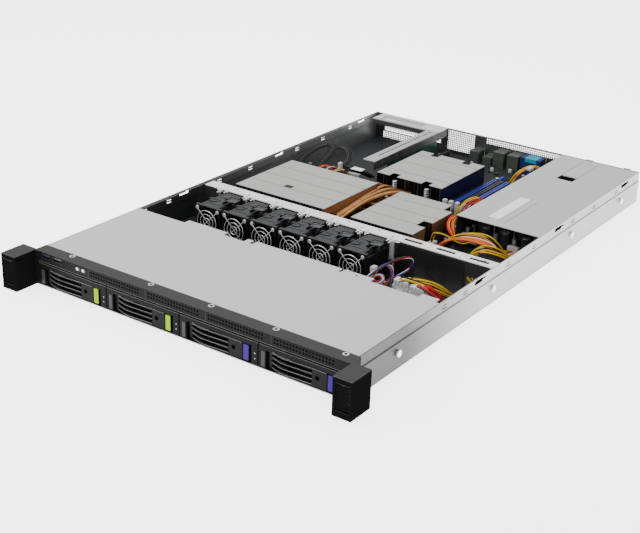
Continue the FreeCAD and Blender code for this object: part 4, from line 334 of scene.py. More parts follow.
def moulded(name, dark, light, roughness, coat=0.0, gloss=DULL):
    """Moulded plastic with a fine spark-eroded skin."""
    finish = Finish(name, roughness, 0.0, coat=coat)
    finish.set("Specular IOR Level", gloss)
    skin = finish.place.noise(2600, 2)
    flow = finish.place.noise(18, 2)
    finish.shade_node = (flow * 0.6 + skin * 0.4).shade(dark, light)
    finish.set("Base Color", finish.shade_node)
    finish.set("Roughness", roughness - 0.08 + skin * 0.16)
    finish.set("Normal", skin.bump(0.00004, 0.4))
    return finish


ear_black = moulded("ear_black", EAR_DARK, EAR_LIGHT, 0.42, gloss=0.0)
# The tops carry a painted highlight.
top_highlight = ear_black.place.along("Z") > 42.9
ear_black.set("Base Color", top_highlight.over(ear_black.shade_node, (0.06, 0.06, 0.061)))
dress(ear_black, "left_rack_ear", "right_rack_ear")
# A grey for painted highlight along thin edges and rims.
edge_highlight = moulded("edge_highlight_grey", (0.06, 0.06, 0.06), (0.1, 0.1, 0.1), 0.35)


def bar(name, low, high, edge=0.3):
    """A block between two corners in millimetres, its edges broken."""
    deselect()
    middle = [(a + b) / 2 * MM for a, b in zip(low, high)]
    size = [(b - a) * MM for a, b in zip(low, high)]
    bpy.ops.mesh.primitive_cube_add(size=1, location=middle, scale=size)
    piece = bpy.context.object
    piece.name = name
    bpy.ops.object.transform_apply()
    if edge:
        bpy.ops.object.mode_set(mode="EDIT")
        bpy.ops.mesh.select_all(action="SELECT")
        bpy.ops.mesh.bevel(offset=edge * MM, segments=1)
        bpy.ops.object.mode_set(mode="OBJECT")
    return piece


def joined(name, pieces):
    """Several pieces as one."""
    deselect()
    for piece in pieces:
        piece.select_set(True)
    bpy.context.view_layer.objects.active = pieces[0]
    bpy.ops.object.join()
    pieces[0].name = name
    return pieces[0]


def copies(piece, steps):
    """The piece repeated at steps in millimetres, as one."""
    twins = []
    for step in steps:
        twin = piece.copy()
        twin.data = piece.data.copy()
        twin.data.transform(Matrix.Translation(Vector(step) * MM))
        bpy.context.scene.collection.objects.link(twin)
        twins.append(twin)
    return joined(piece.name, [piece] + twins)


def pick(piece):
    """Select one piece alone."""
    deselect()
    piece.select_set(True)
    bpy.context.view_layer.objects.active = piece


def kept(piece, finish, body="chassis", smooth=True):
    """Give a new piece its finish and its body."""
    piece.data.materials.clear()
    piece.data.materials.append(finish.material)
    if smooth:
        pick(piece)
        bpy.ops.object.shade_smooth_by_angle(angle=math.radians(35))
    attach(piece, body)
    return piece


PANEL_BOTTOM, PANEL_TOP = 6.6, 36.9
for name, low_x, high_x, upright_x in (("right", 222.9, 238.7, 238.9), ("left", -238.7, -222.9, -222.7)):
    rims = [
        bar("rim", (low_x, -33.7, level), (high_x, -33.1, level + 0.7), 0.15)
        for level in (PANEL_BOTTOM, PANEL_TOP)
    ]
    rims.append(bar("rim", (upright_x - 0.25, -33.5, 9.2), (upright_x + 0.25, -32.8, 35.2), 0.1))
    kept(joined(f"{name}_ear_rims", rims), edge_highlight)


# Front bezel
# Dark moulding over the front edge, with a painted highlight on its top: a merged
# copy of the CAD piece, with two rows of square air holes cut through it in four
# fields, and a dark sheet of painted shade behind them. A grey upright line, a
# seam edge with painted highlight, stands at the left end of each field, and a
# grey line of painted highlight lies under them all.
AIR_FIELDS = ((-131, -58), (-45.5, 26.8), (38.9, 112.1), (125.1, 199.8))
AIR_ROWS = (35.6, 39.6)
AIR_PITCH, AIR_MARGIN = 4.05, 1.5
FACE_Y = -2.9
bezel_black = moulded("bezel_black", (0.004, 0.004, 0.0044), (0.007, 0.007, 0.0075), 0.42, gloss=MATT)
# The top face carries a painted highlight.
top_highlight = bezel_black.place.along("Z") > 43.3
bezel_black.set("Base Color", top_highlight.over(bezel_black.shade_node, (0.045, 0.045, 0.046)))
source = parts["front_bezel"]
bezel = source.copy()
bezel.data = source.data.copy()
bezel.name = "bezel_moulding"
bezel.parent = None
bpy.context.scene.collection.objects.link(bezel)
pick(bezel)
bpy.ops.object.mode_set(mode="EDIT")
bpy.ops.mesh.select_all(action="SELECT")
bpy.ops.mesh.remove_doubles(threshold=0.000001)
bpy.ops.object.mode_set(mode="OBJECT")
hole = bar("air_holes", (-1.15, -3.8, -1.1), (1.15, -1.9, 1.1), edge=0)
steps = []
for left_end, right_end in AIR_FIELDS:
    count = int((right_end - left_end) / AIR_PITCH)
    pitch = (right_end - left_end - 2 * AIR_MARGIN) / count
    steps += [
        (left_end + AIR_MARGIN + number * pitch, 0, level)
        for number in range(count + 1) for level in AIR_ROWS
    ]
air_holes = copies(hole, steps)
pick(bezel)
tool = bezel.modifiers.new("air", "BOOLEAN")
tool.operation = "DIFFERENCE"
tool.solver = "EXACT"
tool.object = air_holes
bpy.ops.object.modifier_apply(modifier="air")
bpy.data.objects.remove(air_holes)
kept(bezel, bezel_black, smooth=False)
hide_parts("front_bezel")
kept(bar("bezel_edge_line", (-213.4, -3.25, 31.0), (213.4, FACE_Y, 31.5), 0.1), edge_highlight)
# A flat black for painted shade in holes, gaps, slots and openings.
shade_black = Finish("shade_black", 0.8, colour=(0.003, 0.003, 0.0035))
shade_black.set("Specular IOR Level", 0.0)
seam_grey = moulded("seam_grey", (0.018, 0.018, 0.019), (0.03, 0.03, 0.031), 0.4)
seams = [
    bar("seam", (left_end - 3.2, -3.2, 32.0), (left_end - 2.6, FACE_Y, 43.0), 0.1)
    for left_end, _ in AIR_FIELDS
]
kept(joined("bezel_seams", seams), seam_grey)
# A dark sheet of painted shade behind the air holes.
kept(bar("air_hole_backing", (-135, -1.3, 33), (203, -1.1, 42), 0), shade_black)


# Front ports and buttons
# Two steel port shells, the left one with a blue contact tongue and the right
# one with a black one, and two oval buttons, dark with a white middle.
TONGUE_LEVEL, LEFT_PORT_X, RIGHT_PORT_X = 38.7, -202.2, -183.6
SPOT_AREA = 3.0
port_steel = Finish("port_steel", 0.35, 0.9)
grain = port_steel.place.noise(900, 3)
across, lead_in, height = port_steel.coordinates()
port_steel.set("Roughness", 0.28 + grain * 0.2)
tongue = (abs(height - TONGUE_LEVEL) < 0.95) * (lead_in > -2.4)
in_left = (abs(across - LEFT_PORT_X) < 5.6) * tongue
in_right = (abs(across - RIGHT_PORT_X) < 5.6) * tongue
port_shade = in_left.over((0.09, 0.09, 0.095), (0.012, 0.014, 0.1))
port_steel.set("Base Color", in_right.over(port_shade, (0.008, 0.008, 0.009)))
port_steel.set("Metallic", 0.9 - 0.9 * (in_left + in_right))
dress(port_steel, "front_ports")

for node, body in (("locate_button", "locate_key"), ("power_button", "power_key")):
    low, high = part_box(node)
    low, high = [c / MM for c in low], [c / MM for c in high]
    cap = bar(node + "_cap", low, high, 0)
    bpy.context.view_layer.objects.active = cap
    bpy.ops.object.mode_set(mode="EDIT")
    bpy.ops.mesh.select_all(action="DESELECT")
    bpy.ops.object.mode_set(mode="OBJECT")
    for side_edge in cap.data.edges:
        a, b = (cap.data.vertices[v].co for v in side_edge.vertices)
        side_edge.select = abs(a.y - b.y) > 0.001
    bpy.ops.object.mode_set(mode="EDIT")
    bpy.ops.mesh.bevel(offset=1.6 * MM, segments=5)
    bpy.ops.object.mode_set(mode="OBJECT")
    ringed = moulded(node + "_face", (0.72, 0.72, 0.70), (0.8, 0.8, 0.78), 0.3, 0.3)
    middle = [(a + b) / 2 for a, b in zip(low, high)]
    off_x, off_z = ringed.place.along("X") - middle[0], ringed.place.along("Z") - middle[2]
    apart = off_x * off_x + off_z * off_z
    ringed.set("Base Color", (apart > SPOT_AREA).over(ringed.shade_node, (0.02, 0.02, 0.02)))
    kept(cap, ringed, body)
    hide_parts(node)


# Drive trays
# Four carriers with swing levers. Each lever has a bowed grille whose ribs
# carry grey strands of painted highlight, a ringed lock, and a sprung latch tab
# beside two lamps. Grey lips of painted highlight run along each tray's top and
# bottom, and a dark bar of painted shade fills the gap at its right end.
BAY_PITCH, LATCH_X = 106.5, -122.8
LOUVRE_LEVEL, LOUVRE_PITCH = 5.15, 5.9
TRIM_Y = -3.3
LAMP_LEVELS = (9.6, 15.5)
tray_black = moulded("tray_black", (0.003, 0.003, 0.0033), (0.006, 0.006, 0.0064), 0.4, gloss=MATT)
dress(tray_black, *(f"drive_tray_{n}" for n in range(1, 5)))
lever_black = moulded("lever_black", (0.005, 0.005, 0.0055), (0.009, 0.009, 0.0095), 0.34, gloss=MATT)
dress(lever_black, *(f"tray_lever_{n}" for n in range(1, 5)))
# Grey for the painted highlight along the grille ribs.
rib_highlight_grey = moulded("rib_highlight_grey", (0.08, 0.08, 0.08), (0.12, 0.12, 0.12), 0.3)
latch_green = moulded("latch_green", (0.17, 0.33, 0.0), (0.21, 0.39, 0.0), 0.4, gloss=MATT)
latch_purple = moulded("latch_purple", (0.026, 0.01, 0.13), (0.036, 0.015, 0.17), 0.4, gloss=MATT)
for finish in (latch_green, latch_purple):
    across, height = finish.place.along("X"), finish.place.along("Z")
    off_middle = abs((across - (LATCH_X - BAY_PITCH / 2)) % BAY_PITCH - BAY_PITCH / 2)
    margin = (off_middle > 3.3) + (abs(height - 13.1) > 9.3) > 0.5
    finish.set("Base Color", margin.over(finish.shade_node, (0.003, 0.003, 0.003)))
dress(latch_green, "tray_latch_1", "tray_latch_2")
dress(latch_purple, "tray_latch_3", "tray_latch_4")
lamp_clear = Finish("lamp_clear", 0.15, 0.0, (0.75, 0.75, 0.75), 0.5)


def strand(name, points, radius, sides=6):
    """A smooth round strand through control points in millimetres."""
    curve = bpy.data.curves.new(name, "CURVE")
    curve.dimensions = "3D"
    spline = curve.splines.new("NURBS")
    spline.points.add(len(points) - 1)
    for control, point in zip(spline.points, points):
        control.co = (*(c * MM for c in point), 1)
    spline.order_u = 3
    spline.use_endpoint_u = True
    curve.bevel_depth = radius * MM
    curve.bevel_resolution = max(0, sides // 2 - 2)
    curve.resolution_u = 6
    curve.use_fill_caps = True
    holder = bpy.data.objects.new(name, curve)
    bpy.context.scene.collection.objects.link(holder)
    pick(holder)
    bpy.ops.object.convert(target="MESH")
    return bpy.context.object


FACING = (math.pi / 2, 0, 0)


def ring(spot, reach, thick, sides, turn=(0, 0, 0)):
    """A round wire ring about a spot in millimetres."""
    deselect()
    bpy.ops.mesh.primitive_torus_add(
        major_radius=reach * MM, minor_radius=thick * MM, major_segments=sides, minor_segments=6,
        location=[c * MM for c in spot], rotation=turn,
    )
    bpy.ops.object.transform_apply()
    return bpy.context.object


for number in range(1, 5):
    lever, tray = f"lever_{number}", f"tray_{number}"
    left = BAY_PITCH * (number - 3)
    ribs = []
    for level in range(4):
        z = LOUVRE_LEVEL + LOUVRE_PITCH * level
        ribs.append(strand("rib", [
            (left + 17.5, -2.8, z + 1.8), (left + 20.5, -3.1, z + 0.9), (left + 27, -3.75, z - 1.2),
            (left + 38, -3.85, z - 1.0), (left + 52, -3.6, z - 0.1), (left + 67, -3.15, z),
        ], 0.34))
    ribs.append(bar("rib", (left + 17, -3.25, 22.4), (left + 84.5, -2.85, 22.95), 0.1))
    kept(joined(lever + "_ribs", ribs), rib_highlight_grey, lever)
    lock_rim = ring((left + 73.5, -3.0, 13.6), 2.55, 0.3, 24, FACING)
    kept(joined(lever + "_lock_rim", [lock_rim]), tray_black, lever)
    kept(bar(tray + "_pad", (left + 3.2, TRIM_Y, 4.0), (left + 8.0, FACE_Y, 21.6), 0.25), seam_grey, tray)
    lips = [
        bar("lip", (left + 0.6, TRIM_Y, 28.6), (left + 105.9, FACE_Y, 29.1), 0.12),
        bar("lip", (left + 1.0, TRIM_Y, 1.7), (left + 105.5, FACE_Y, 2.1), 0.12),
    ]
    kept(joined(tray + "_lips", lips), edge_highlight, tray)
    lamps = [
        bar("lamp", (left + 101, TRIM_Y, z - 0.5), (left + 102, FACE_Y, z + 0.5), 0.2)
        for z in LAMP_LEVELS
    ]
    kept(joined(tray + "_lamps", lamps), lamp_clear, tray)
    # A dark bar of painted shade in the gap beside the next tray.
    kept(bar(tray + "_gap", (left + 104.9, -3.1, 2.2), (left + 105.85, FACE_Y, 28.5), 0), shade_black, tray)


# Cage cover
# Flat painted cover over the drive cage, held by ring-headed screws whose
# sockets carry painted shade.
SCREW_X = (-171.9, -52.1, 32.7, 118.3, 203.9)
SCREW_Y, SOCKET_AREA = 10.3, 4.6
SCREW_SHADE = (0.9, 0.9, 0.9)
cover_paint = sheet_metal("cover_paint", (0.50, 0.50, 0.50), (0.54, 0.54, 0.54), 0.5, 0.05)
dress(cover_paint, "drive_cage_cover")
screw_steel = Finish("screw_steel", 0.3, 0.7, SCREW_SHADE)
screw_steel.roughen(0.16, 0.18, 1400)
dress(screw_steel, "rail_studs")
ringed_steel = Finish("ringed_screw_steel", 0.3, 0.6)
ringed_steel.roughen(0.2, 0.18, 1400)
across, off_y = ringed_steel.place.along("X"), ringed_steel.place.along("Y") - SCREW_Y
# The screw sockets carry painted shade.
in_sockets = 0.0
for x in SCREW_X:
    in_sockets = in_sockets + ((across - x) * (across - x) + off_y * off_y < SOCKET_AREA)
ringed_steel.set("Base Color", in_sockets.over(SCREW_SHADE, (0.01, 0.01, 0.01)))
ringed_steel.set("Metallic", 0.6 - 0.6 * in_sockets)
dress(ringed_steel, "cover_screws")


# Drive backplane
# Green board behind the bays. Its two upright power plugs are milky nylon with
# ribs down their sides, and the drive sockets in front of it are black.
POWER_PLUGS = ((147.5, 206, 31), (170.5, 203.5, 30))
board_green = Finish("board_green", 0.35)
traces = board_green.place.noise(420, 2, (1, 0.2, 1))
board_green.set("Specular IOR Level", DULL)
board_green.set("Base Color", traces.shade((0.006, 0.045, 0.03), (0.012, 0.08, 0.05)))
board_green.set("Normal", traces.bump(0.00005, 0.3))
dress(board_green, "drive_backplane", "riser_board")
milky = Finish("milky_nylon", 0.38, coat=0.2)
cloud = milky.place.noise(160, 3).shade((0.5, 0.5, 0.49), (0.78, 0.78, 0.76))
milky.set("Base Color", (milky.place.along("Y") < 180).over(cloud, (0.02, 0.02, 0.02)))
dress(milky, "backplane_connectors")
ribs = []
for x, y, top in POWER_PLUGS:
    for step in range(5):
        rib_x = x - 9.6 + step * 4.4
        ribs.append(bar("rib", (rib_x, y - 5.6, 6), (rib_x + 1.4, y - 4.8, top - 1.5), 0.2))
    ribs.append(bar("rib", (x - 4, y - 6.3, top - 9), (x + 4, y - 4.8, top - 3), 0.5))
    for step in range(4):
        rib_y = y - 4.2 + step * 2.6
        ribs.append(bar("rib", (x + 10.3, rib_y, 6), (x + 11, rib_y + 1.0, top - 2), 0.2))
kept(joined("power_plug_ribs", ribs), milky)


# Fans
# Six fan modules, each two rotors in a charcoal housing. Silver screws hold a
# chrome wire guard of three rings on two crossed struts. The first fan's small
# parts are made and then repeated along the row.
FAN_COUNT, FAN_PITCH, FAN_LEVEL = 6, 43.9, 21.2
FAN_X = [-158.1 + FAN_PITCH * n for n in range(FAN_COUNT)]
FAN_STEPS = [(FAN_PITCH * n, 0, 0) for n in range(1, FAN_COUNT)]
FIRST = FAN_X[0]
CORNER, FAN_TOP = 16.2, 40.9
SIDES = (-1, 1)
fan_charcoal = moulded("fan_charcoal", (0.036, 0.037, 0.039), (0.06, 0.061, 0.064), 0.38)
fan_housing = moulded("fan_housing", (0.024, 0.025, 0.026), (0.036, 0.037, 0.039), 0.4)
# The housing's front faces and the faces below its top carry painted shade.
height, along = fan_housing.place.along("Z"), fan_housing.place.along("Y")
shade_inside(fan_housing, ((along < 232) + (height < 36)) > 0.5, (0.01, 0.01, 0.011))
dress(fan_housing, "fan_frames")
rotor_black = moulded("rotor_black", (0.005, 0.005, 0.0055), (0.01, 0.01, 0.011), 0.3)
dress(rotor_black, *(f"{kind}_rotor_{n}" for kind in ("intake", "exhaust") for n in range(1, 7)))
guard_chrome = Finish("guard_chrome", 0.2, 0.5, (0.72, 0.72, 0.73))
guard_chrome.roughen(0.1, 0.16, 700)


def post(spot, radius, depth, sides, turn=(0, 0, 0), edge=0.0, steps=1):
    """A round block about a spot in millimetres, its edges broken."""
    deselect()
    bpy.ops.mesh.primitive_cylinder_add(
        vertices=sides, radius=radius * MM, depth=depth * MM, location=[c * MM for c in spot], rotation=turn,
    )
    bpy.ops.object.transform_apply()
    if edge:
        bpy.ops.object.mode_set(mode="EDIT")
        bpy.ops.mesh.bevel(offset=edge * MM, segments=steps)
        bpy.ops.object.mode_set(mode="OBJECT")
    return bpy.context.object


wires = [ring((FIRST, 228.3, FAN_LEVEL), reach, 0.5, 32, FACING) for reach in (5.2, 10.2, 15.2)]
for sx in SIDES:
    ends = [(FIRST + sx * s * 15.6, 229.1, FAN_LEVEL + s * 15.6) for s in (-1, -0.35, 0.35, 1)]
    wires.append(strand("strut", ends, 0.5))
    for s in SIDES:
        wires.append(ring((FIRST + sx * s * CORNER, 229.4, FAN_LEVEL + s * CORNER), 2.1, 0.5, 16, FACING))
guards = copies(joined("chrome_guards", wires), FAN_STEPS)
kept(guards, guard_chrome)
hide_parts("finger_guards")
screws = [
    post((FIRST + sx * CORNER, 229.6, FAN_LEVEL + sz * CORNER), 1.9, 1.6, 14, FACING, edge=0.35, steps=2)
    for sx in SIDES for sz in SIDES
]
kept(copies(joined("fan_screws", screws), FAN_STEPS), screw_steel)
clips = [bar("clip", (FIRST - 11, y, 41.0), (FIRST + 11, y + 1.2, 41.7), 0.2) for y in (243, 268)]
clips += [bar("clip", (FIRST + x, 236.5, 41.0), (FIRST + x + 1.2, 281, 41.6), 0.2) for x in (-12.5, 11.3)]
kept(copies(joined("fan_top_ribs", clips), FAN_STEPS), fan_charcoal)
# Dark openings in each fan's top, painted shade.
gaps = [
    bar("gap", (FIRST + 5, 252, FAN_TOP), (FIRST + 19, 260.5, 41.45), 0),
    bar("gap", (FIRST + 9, 247.5, FAN_TOP), (FIRST + 14, 252.5, 41.45), 0),
    bar("gap", (FIRST + 2, 262, FAN_TOP), (FIRST + 3.4, 276, 41.45), 0),
    bar("gap", (FIRST + 3, 274.6, FAN_TOP), (FIRST + 17, 276, 41.45), 0),
]
for bend in (((-15, 249), (-5, 246), (-3, 254)), ((-3, 268), (6, 264), (9, 273), (18, 271))):
    gaps.append(strand("gap", [(FIRST + x, y, 41.3) for x, y in bend], 0.5))
gaps.append(bar("gap", (FIRST - 20, 257.2, FAN_TOP), (FIRST - 1, 258, 41.4), 0))
kept(copies(joined("fan_top_gaps", gaps), FAN_STEPS), shade_black)
window_grey = moulded("fan_window_grey", (0.05, 0.051, 0.053), (0.075, 0.076, 0.079), 0.3)
window = bar("fan_top_windows", (FIRST + 4, 263, FAN_TOP), (FIRST + 18, 274, 41.5), 0.2)
kept(copies(window, FAN_STEPS), window_grey)


# Fan wall and baffle
# Plated sheet folded over behind the fans, with small punched holes and tabs
# along its flange. The holes are painted dark as shade, and the tabs are a lighter
# copy of the plating with painted highlight. A glossy black film stands before
# its right part.
FLANGE_HOLES = ((128, 292), (128, 300), (172, 290.5), (176, 299), (196, 291), (200, 300), (90, 300))
MARK_BOTTOM, MARK_TOP = 43.2, 43.54
FLANGE_MARKS = ((15, 293, 18, 295), (-9, 298.8, -5, 300.4), (-18, 290.4, -16.4, 292), (6, 289.8, 20, 290.3))
TAB_Y = 286.9
film_black = Finish("black_film", 0.22, 0.0, (0.012, 0.012, 0.013), 0.3)
waves = film_black.place.noise(14, 2)
film_black.set("Roughness", 0.18 + waves * 0.2)
film_black.set("Normal", waves.bump(0.002, 0.5))
dress(film_black, "baffle_sheet")
punched = [post((x, y, 43.4), 1.0, 0.3, 12) for x, y in FLANGE_HOLES]
for x in FAN_X:
    for left_end, front, right_end, rear in FLANGE_MARKS:
        punched.append(bar("hole", (x + left_end, front, MARK_BOTTOM), (x + right_end, rear, MARK_TOP), 0))
kept(joined("fan_wall_punchings", punched), shade_black)
tabs = []
for number in range(FAN_COUNT + 1):
    x = FIRST + FAN_PITCH * (number - 0.5)
    tabs.append(bar("tab", (x - 0.8, 278, 20), (x + 0.8, 287.4, 41.9), 0.2))
    for s in SIDES:
        bend = [(x + s * 8.5, TAB_Y, 41.6), (x + s * 2.5, TAB_Y, 41.4), (x, TAB_Y, 38), (x, TAB_Y, 30)]
        tabs.append(strand("tab", bend, 0.8))
    if number < FAN_COUNT:
        tabs.append(bar("tab", (x + 8, 300.6, 43.0), (x + 33, 302.2, 43.45), 0.1))
tabs.append(bar("tab", (FAN_X[-1] + 21.3, 284, 3), (FAN_X[-1] + 24.2, 287.4, 42.3), 0.3))
kept(joined("fan_wall_tabs", tabs), highlit_zinc)
rear_screws = [post((x + shift, 282.4, 41.5), 1.3, 0.7, 14) for x in FAN_X for shift in (-15.6, 15.6)]
kept(joined("fan_rear_screws", rear_screws), screw_steel)
# Dark pads of painted shade at each fan's rear corners.
pads = [
    bar("pad", (x + s * 15.8 - 3.6, 279.6, FAN_TOP), (x + s * 15.8 + 3.6, 286, 41.35), 0.1)
    for x in FAN_X for s in SIDES
]
kept(joined("fan_rear_pads", pads), shade_black)


# Motherboard
# Dark board with its small parts soldered on: chips, capacitors, slots and
# headers, spread over the places that the coolers leave open.
BOARD_TOP = 7.8
OPEN_PLACES = (
    (-203, -192, 330, 520), (-200, -120, 458, 485), (-118, -76, 458, 485), (-200, -112, 490, 540),
    (-84, -74, 490, 700), (-60, 30, 458, 483), (-68, 36, 615, 688), (38, 96, 632, 688), (88, 96, 380, 420),
)
CHIP_SIZES = ((3, 2), (6, 6), (2, 3), (9, 5), (4, 8))
AREA_PER_PART = 190
board_dark = Finish("board_dark", 0.55)
board_dark.set("Specular IOR Level", DULL)
traces = board_dark.place.noise(300, 3, (1, 0.25, 1))
patches = board_dark.place.noise(60, 2)
traced = traces.shade((0.008, 0.009, 0.01), (0.022, 0.024, 0.026))
board_dark.set("Base Color", patches.over(traced, (0.014, 0.017, 0.017)))
board_dark.set("Normal", traces.bump(0.00003, 0.3))
dress(board_dark, "motherboard", "power_board")
chip_black = moulded("chip_black", (0.012, 0.012, 0.013), (0.03, 0.03, 0.032), 0.45)
can_steel = Finish("can_steel", 0.3, 0.9, (0.62, 0.62, 0.62))
can_steel.roughen(0.24, 0.2, 900)
header_white = moulded("header_white", (0.42, 0.42, 0.41), (0.54, 0.54, 0.52), 0.4)
header_blue = moulded("header_blue", (0.02, 0.04, 0.32), (0.04, 0.07, 0.45), 0.35)
dice = random.Random(7)
chips, cans, pale, blues = [], [], [], []
for left_end, right_end, front, rear in OPEN_PLACES:
    for _ in range(max(3, int((right_end - left_end) * (rear - front) / AREA_PER_PART))):
        x, y = dice.uniform(left_end, right_end - 3), dice.uniform(front, rear - 3)
        kind = dice.random()
        if kind < 0.5:
            w, d = dice.choice(CHIP_SIZES)
            w, d = min(w, right_end - x), min(d, rear - y)
            tall = dice.choice((1.0, 1.6, 2.4))
            chips.append(bar("chip", (x, y, BOARD_TOP), (x + w, y + d, BOARD_TOP + tall), 0.15))
        elif kind < 0.8:
            tall = dice.choice((5, 8, 8, 10))
            cans.append(post((x, y, BOARD_TOP + tall / 2), 2.4, tall, 14, edge=0.4))
        elif kind < 0.93:
            pale.append(bar("header", (x, y, BOARD_TOP), (x + 5, y + 3, 13), 0.3))
        elif x > 36:
            blues.append(bar("header", (x, y, BOARD_TOP), (x + 3, y + 8, 14), 0.3))
chips.append(bar("slot", (-76, 620, BOARD_TOP), (-70, 690, 17), 0.4))
chips.append(bar("slot", (-62, 455, BOARD_TOP), (-56, 484, 15), 0.4))
chips.append(bar("chip", (-30, 630, BOARD_TOP), (-2, 658, 11), 0.4))
chips.append(bar("chip", (50, 640, BOARD_TOP), (70, 660, 10), 0.4))
blues.append(bar("header", (40, 634, BOARD_TOP), (44, 650, 13), 0.3))
kept(joined("board_chips", chips), chip_black)
kept(joined("board_capacitors", cans), can_steel)
kept(joined("board_headers", pale), header_white)
kept(joined("board_slots", blues), header_blue)


# Coolers and heat pipes
# Soldered fin packs. Their folded tops make a pale cover with thin seams. The
# fins below are painted dark as shade, with lighter lines of painted highlight on
# the cooler's front fin edges and less painted shade on the stacks' front faces.
# The stacks' copper sides carry painted shade growing towards the bottom, and
# flat copper pipes run under and between them.
FIN_TOP = 37.1


def seamed_tops(finish, grain, seams, half_width):
    """The pale folded tops of a fin pack, with thin dark seams across them."""
    along = finish.place.along("Y")
    top = grain.shade((0.42, 0.42, 0.41), (0.52, 0.52, 0.51))
    for seam in seams:
        top = (abs(along - seam) < half_width).over(top, (0.05, 0.05, 0.05))
    return top


cooler = Finish("cooler_fins", 0.34, 0.7)
grain = cooler.place.noise(700, 2, (0.1, 1, 1))
across, along, height = cooler.coordinates()
# Below the pale tops the fins are painted dark as shade.
low = height < FIN_TOP
fins = low.over(seamed_tops(cooler, grain, (514, 552, 590), 0.55), (0.028, 0.028, 0.03))
# Lighter lines of painted highlight on the front fin edges.
edges = (along < 492.6) * (across % 2.9 < 1.0) * low
fins = edges.over(fins, (0.14, 0.14, 0.145))
cooler.set("Base Color", ((across > 30.5) * low).over(fins, (0.012, 0.008, 0.05)))
cooler.set("Roughness", 0.3 + grain * 0.14)
dress(cooler, "cpu_heatsink")
stacks = Finish("stack_fins", 0.34, 0.7)
stacks.set("Specular IOR Level", 0.1)
grain = stacks.place.noise(700, 2, (0.1, 1, 1))
across, along, height = stacks.coordinates()
low = height < FIN_TOP
# A window of painted shade in the left stack's top.
window = (abs(across + 129.4) < 6.2) * (abs(along - 363.6) < 4.6)
top = window.over(seamed_tops(stacks, grain, (358, 389, 421), 0.5), (0.01, 0.01, 0.01))
fins = low.over(top, (0.03, 0.03, 0.032))
# The stacks' front faces, where the fin edges face out, carry less painted shade.
fins = (low * (along < 335)).over(fins, (0.2, 0.2, 0.2))
side = low * (across.within(-47.2, -30) + (across > 72.5))
# The copper sides carry painted shade growing towards the bottom.
brown = (height / 37.0).shade((0.045, 0.022, 0.013), (0.3, 0.17, 0.09))
stacks.set("Base Color", side.over(fins, brown))
stacks.set("Roughness", 0.28 + grain * 0.14)
dress(stacks, "fin_stacks")

copper = Finish("copper", 0.3, 0.9)
tarnish = copper.place.noise(70, 4)
copper.set("Base Color", tarnish.shade((0.42, 0.19, 0.06), (0.74, 0.40, 0.17)))
copper.set("Roughness", 0.24 + tarnish * 0.22)
dress(copper, "heat_pipes")
PIPE_RUNS = (
    ((-33.8, 334, 20), (-34.5, 372, 25), (-37, 420, 27.5), (-28, 470, 26), (-16, 490, 19)),
    ((-39, 336, 22), (-39.5, 380, 26.5), (-42, 430, 28.5), (-38, 475, 27), (-28, 490, 19)),
    ((-44, 352, 22), (-44, 400, 27), (-48, 456, 29), (-48, 478, 27), (-42, 490, 19)),
    ((-66, 456, 27), (-64, 464, 29), (-60, 478, 27), (-55, 490, 19)),
)
upper = [strand("pipe", run, 2.3, sides=10) for run in PIPE_RUNS]
kept(joined("upper_heat_pipes", upper), copper)
kept(bar("cooler_rail", (32.5, 493, 8.4), (34.2, 612, 10.6), 0.3), highlit_zinc)
springs = []
for x, y in ((-45, 494), (6, 494), (-45, 603), (20, 603)):
    springs += [ring((x, y, 17 + 2.4 * step), 3.2, 0.55, 16) for step in range(5)]
    springs.append(post((x, y, 29), 3.4, 2, 16, edge=0.5, steps=2))
kept(joined("cooler_screws", springs), guard_chrome)
gold = Finish("gold_plate", 0.3, 0.9, (0.75, 0.5, 0.2))
gold.roughen(0.24, 0.2, 500)
kept(bar("cooler_gold_strip", (-70, 488.2, 9.4), (31, 488.9, 12.4), 0.2), gold)


# Memory sockets
# Long card sockets in pairs of two colours, blue and black, with pale catches
# at their front ends.
PAIR_X, PAIR_PITCH = 37.8, 18.8
memory = Finish("memory_sockets", 0.4)
lane = (memory.place.along("X") - PAIR_X) % PAIR_PITCH
skin = memory.place.noise(1500, 2)
black = skin.shade((0.01, 0.01, 0.012), (0.02, 0.02, 0.022))
memory.set("Base Color", (lane < PAIR_PITCH / 2).over(black, (0.014, 0.03, 0.27)))
memory.set("Roughness", 0.34 + skin * 0.12)
dress(memory, "memory_sockets")
latch_white = moulded("latch_white", (0.45, 0.45, 0.44), (0.6, 0.6, 0.58), 0.4)
dress(latch_white, "memory_latches")


# Rear ports
# Plated port shells on the board: an olive-grey skin, and a two-deck screen
# connector with a teal upper and a blue lower part.
ports = Finish("port_shells", 0.36, 0.75)
grain = ports.place.noise(600, 2)
across, height = ports.place.along("X"), ports.place.along("Z")
screen = across > 45.5
upper = screen * (height > 27) * (abs(across - 62) < 9)
shell = grain.shade((0.10, 0.115, 0.10), (0.17, 0.185, 0.165))
shell = screen.over(shell, (0.012, 0.02, 0.12))
ports.set("Base Color", upper.over(shell, (0.01, 0.27, 0.4)))
ports.set("Metallic", 0.75 - 0.7 * screen)
ports.set("Roughness", 0.3 + grain * 0.16)
dress(ports, "rear_io_ports")


# Power cage and modules
# Painted lid over two plug-in modules with blue release tabs. The lid's faces
# inside the housing carry painted shade. A blank white label lies on the lid in
# front of a window filled with painted shade, and everything behind the modules'
# rear faces is black: their handles and inlets.
MODULE_REAR = 716.05
lid_paint = sheet_metal("lid_paint", (0.44, 0.44, 0.44), (0.48, 0.48, 0.48), 0.48, 0.1)
height, along = lid_paint.place.along("Z"), lid_paint.place.along("Y")
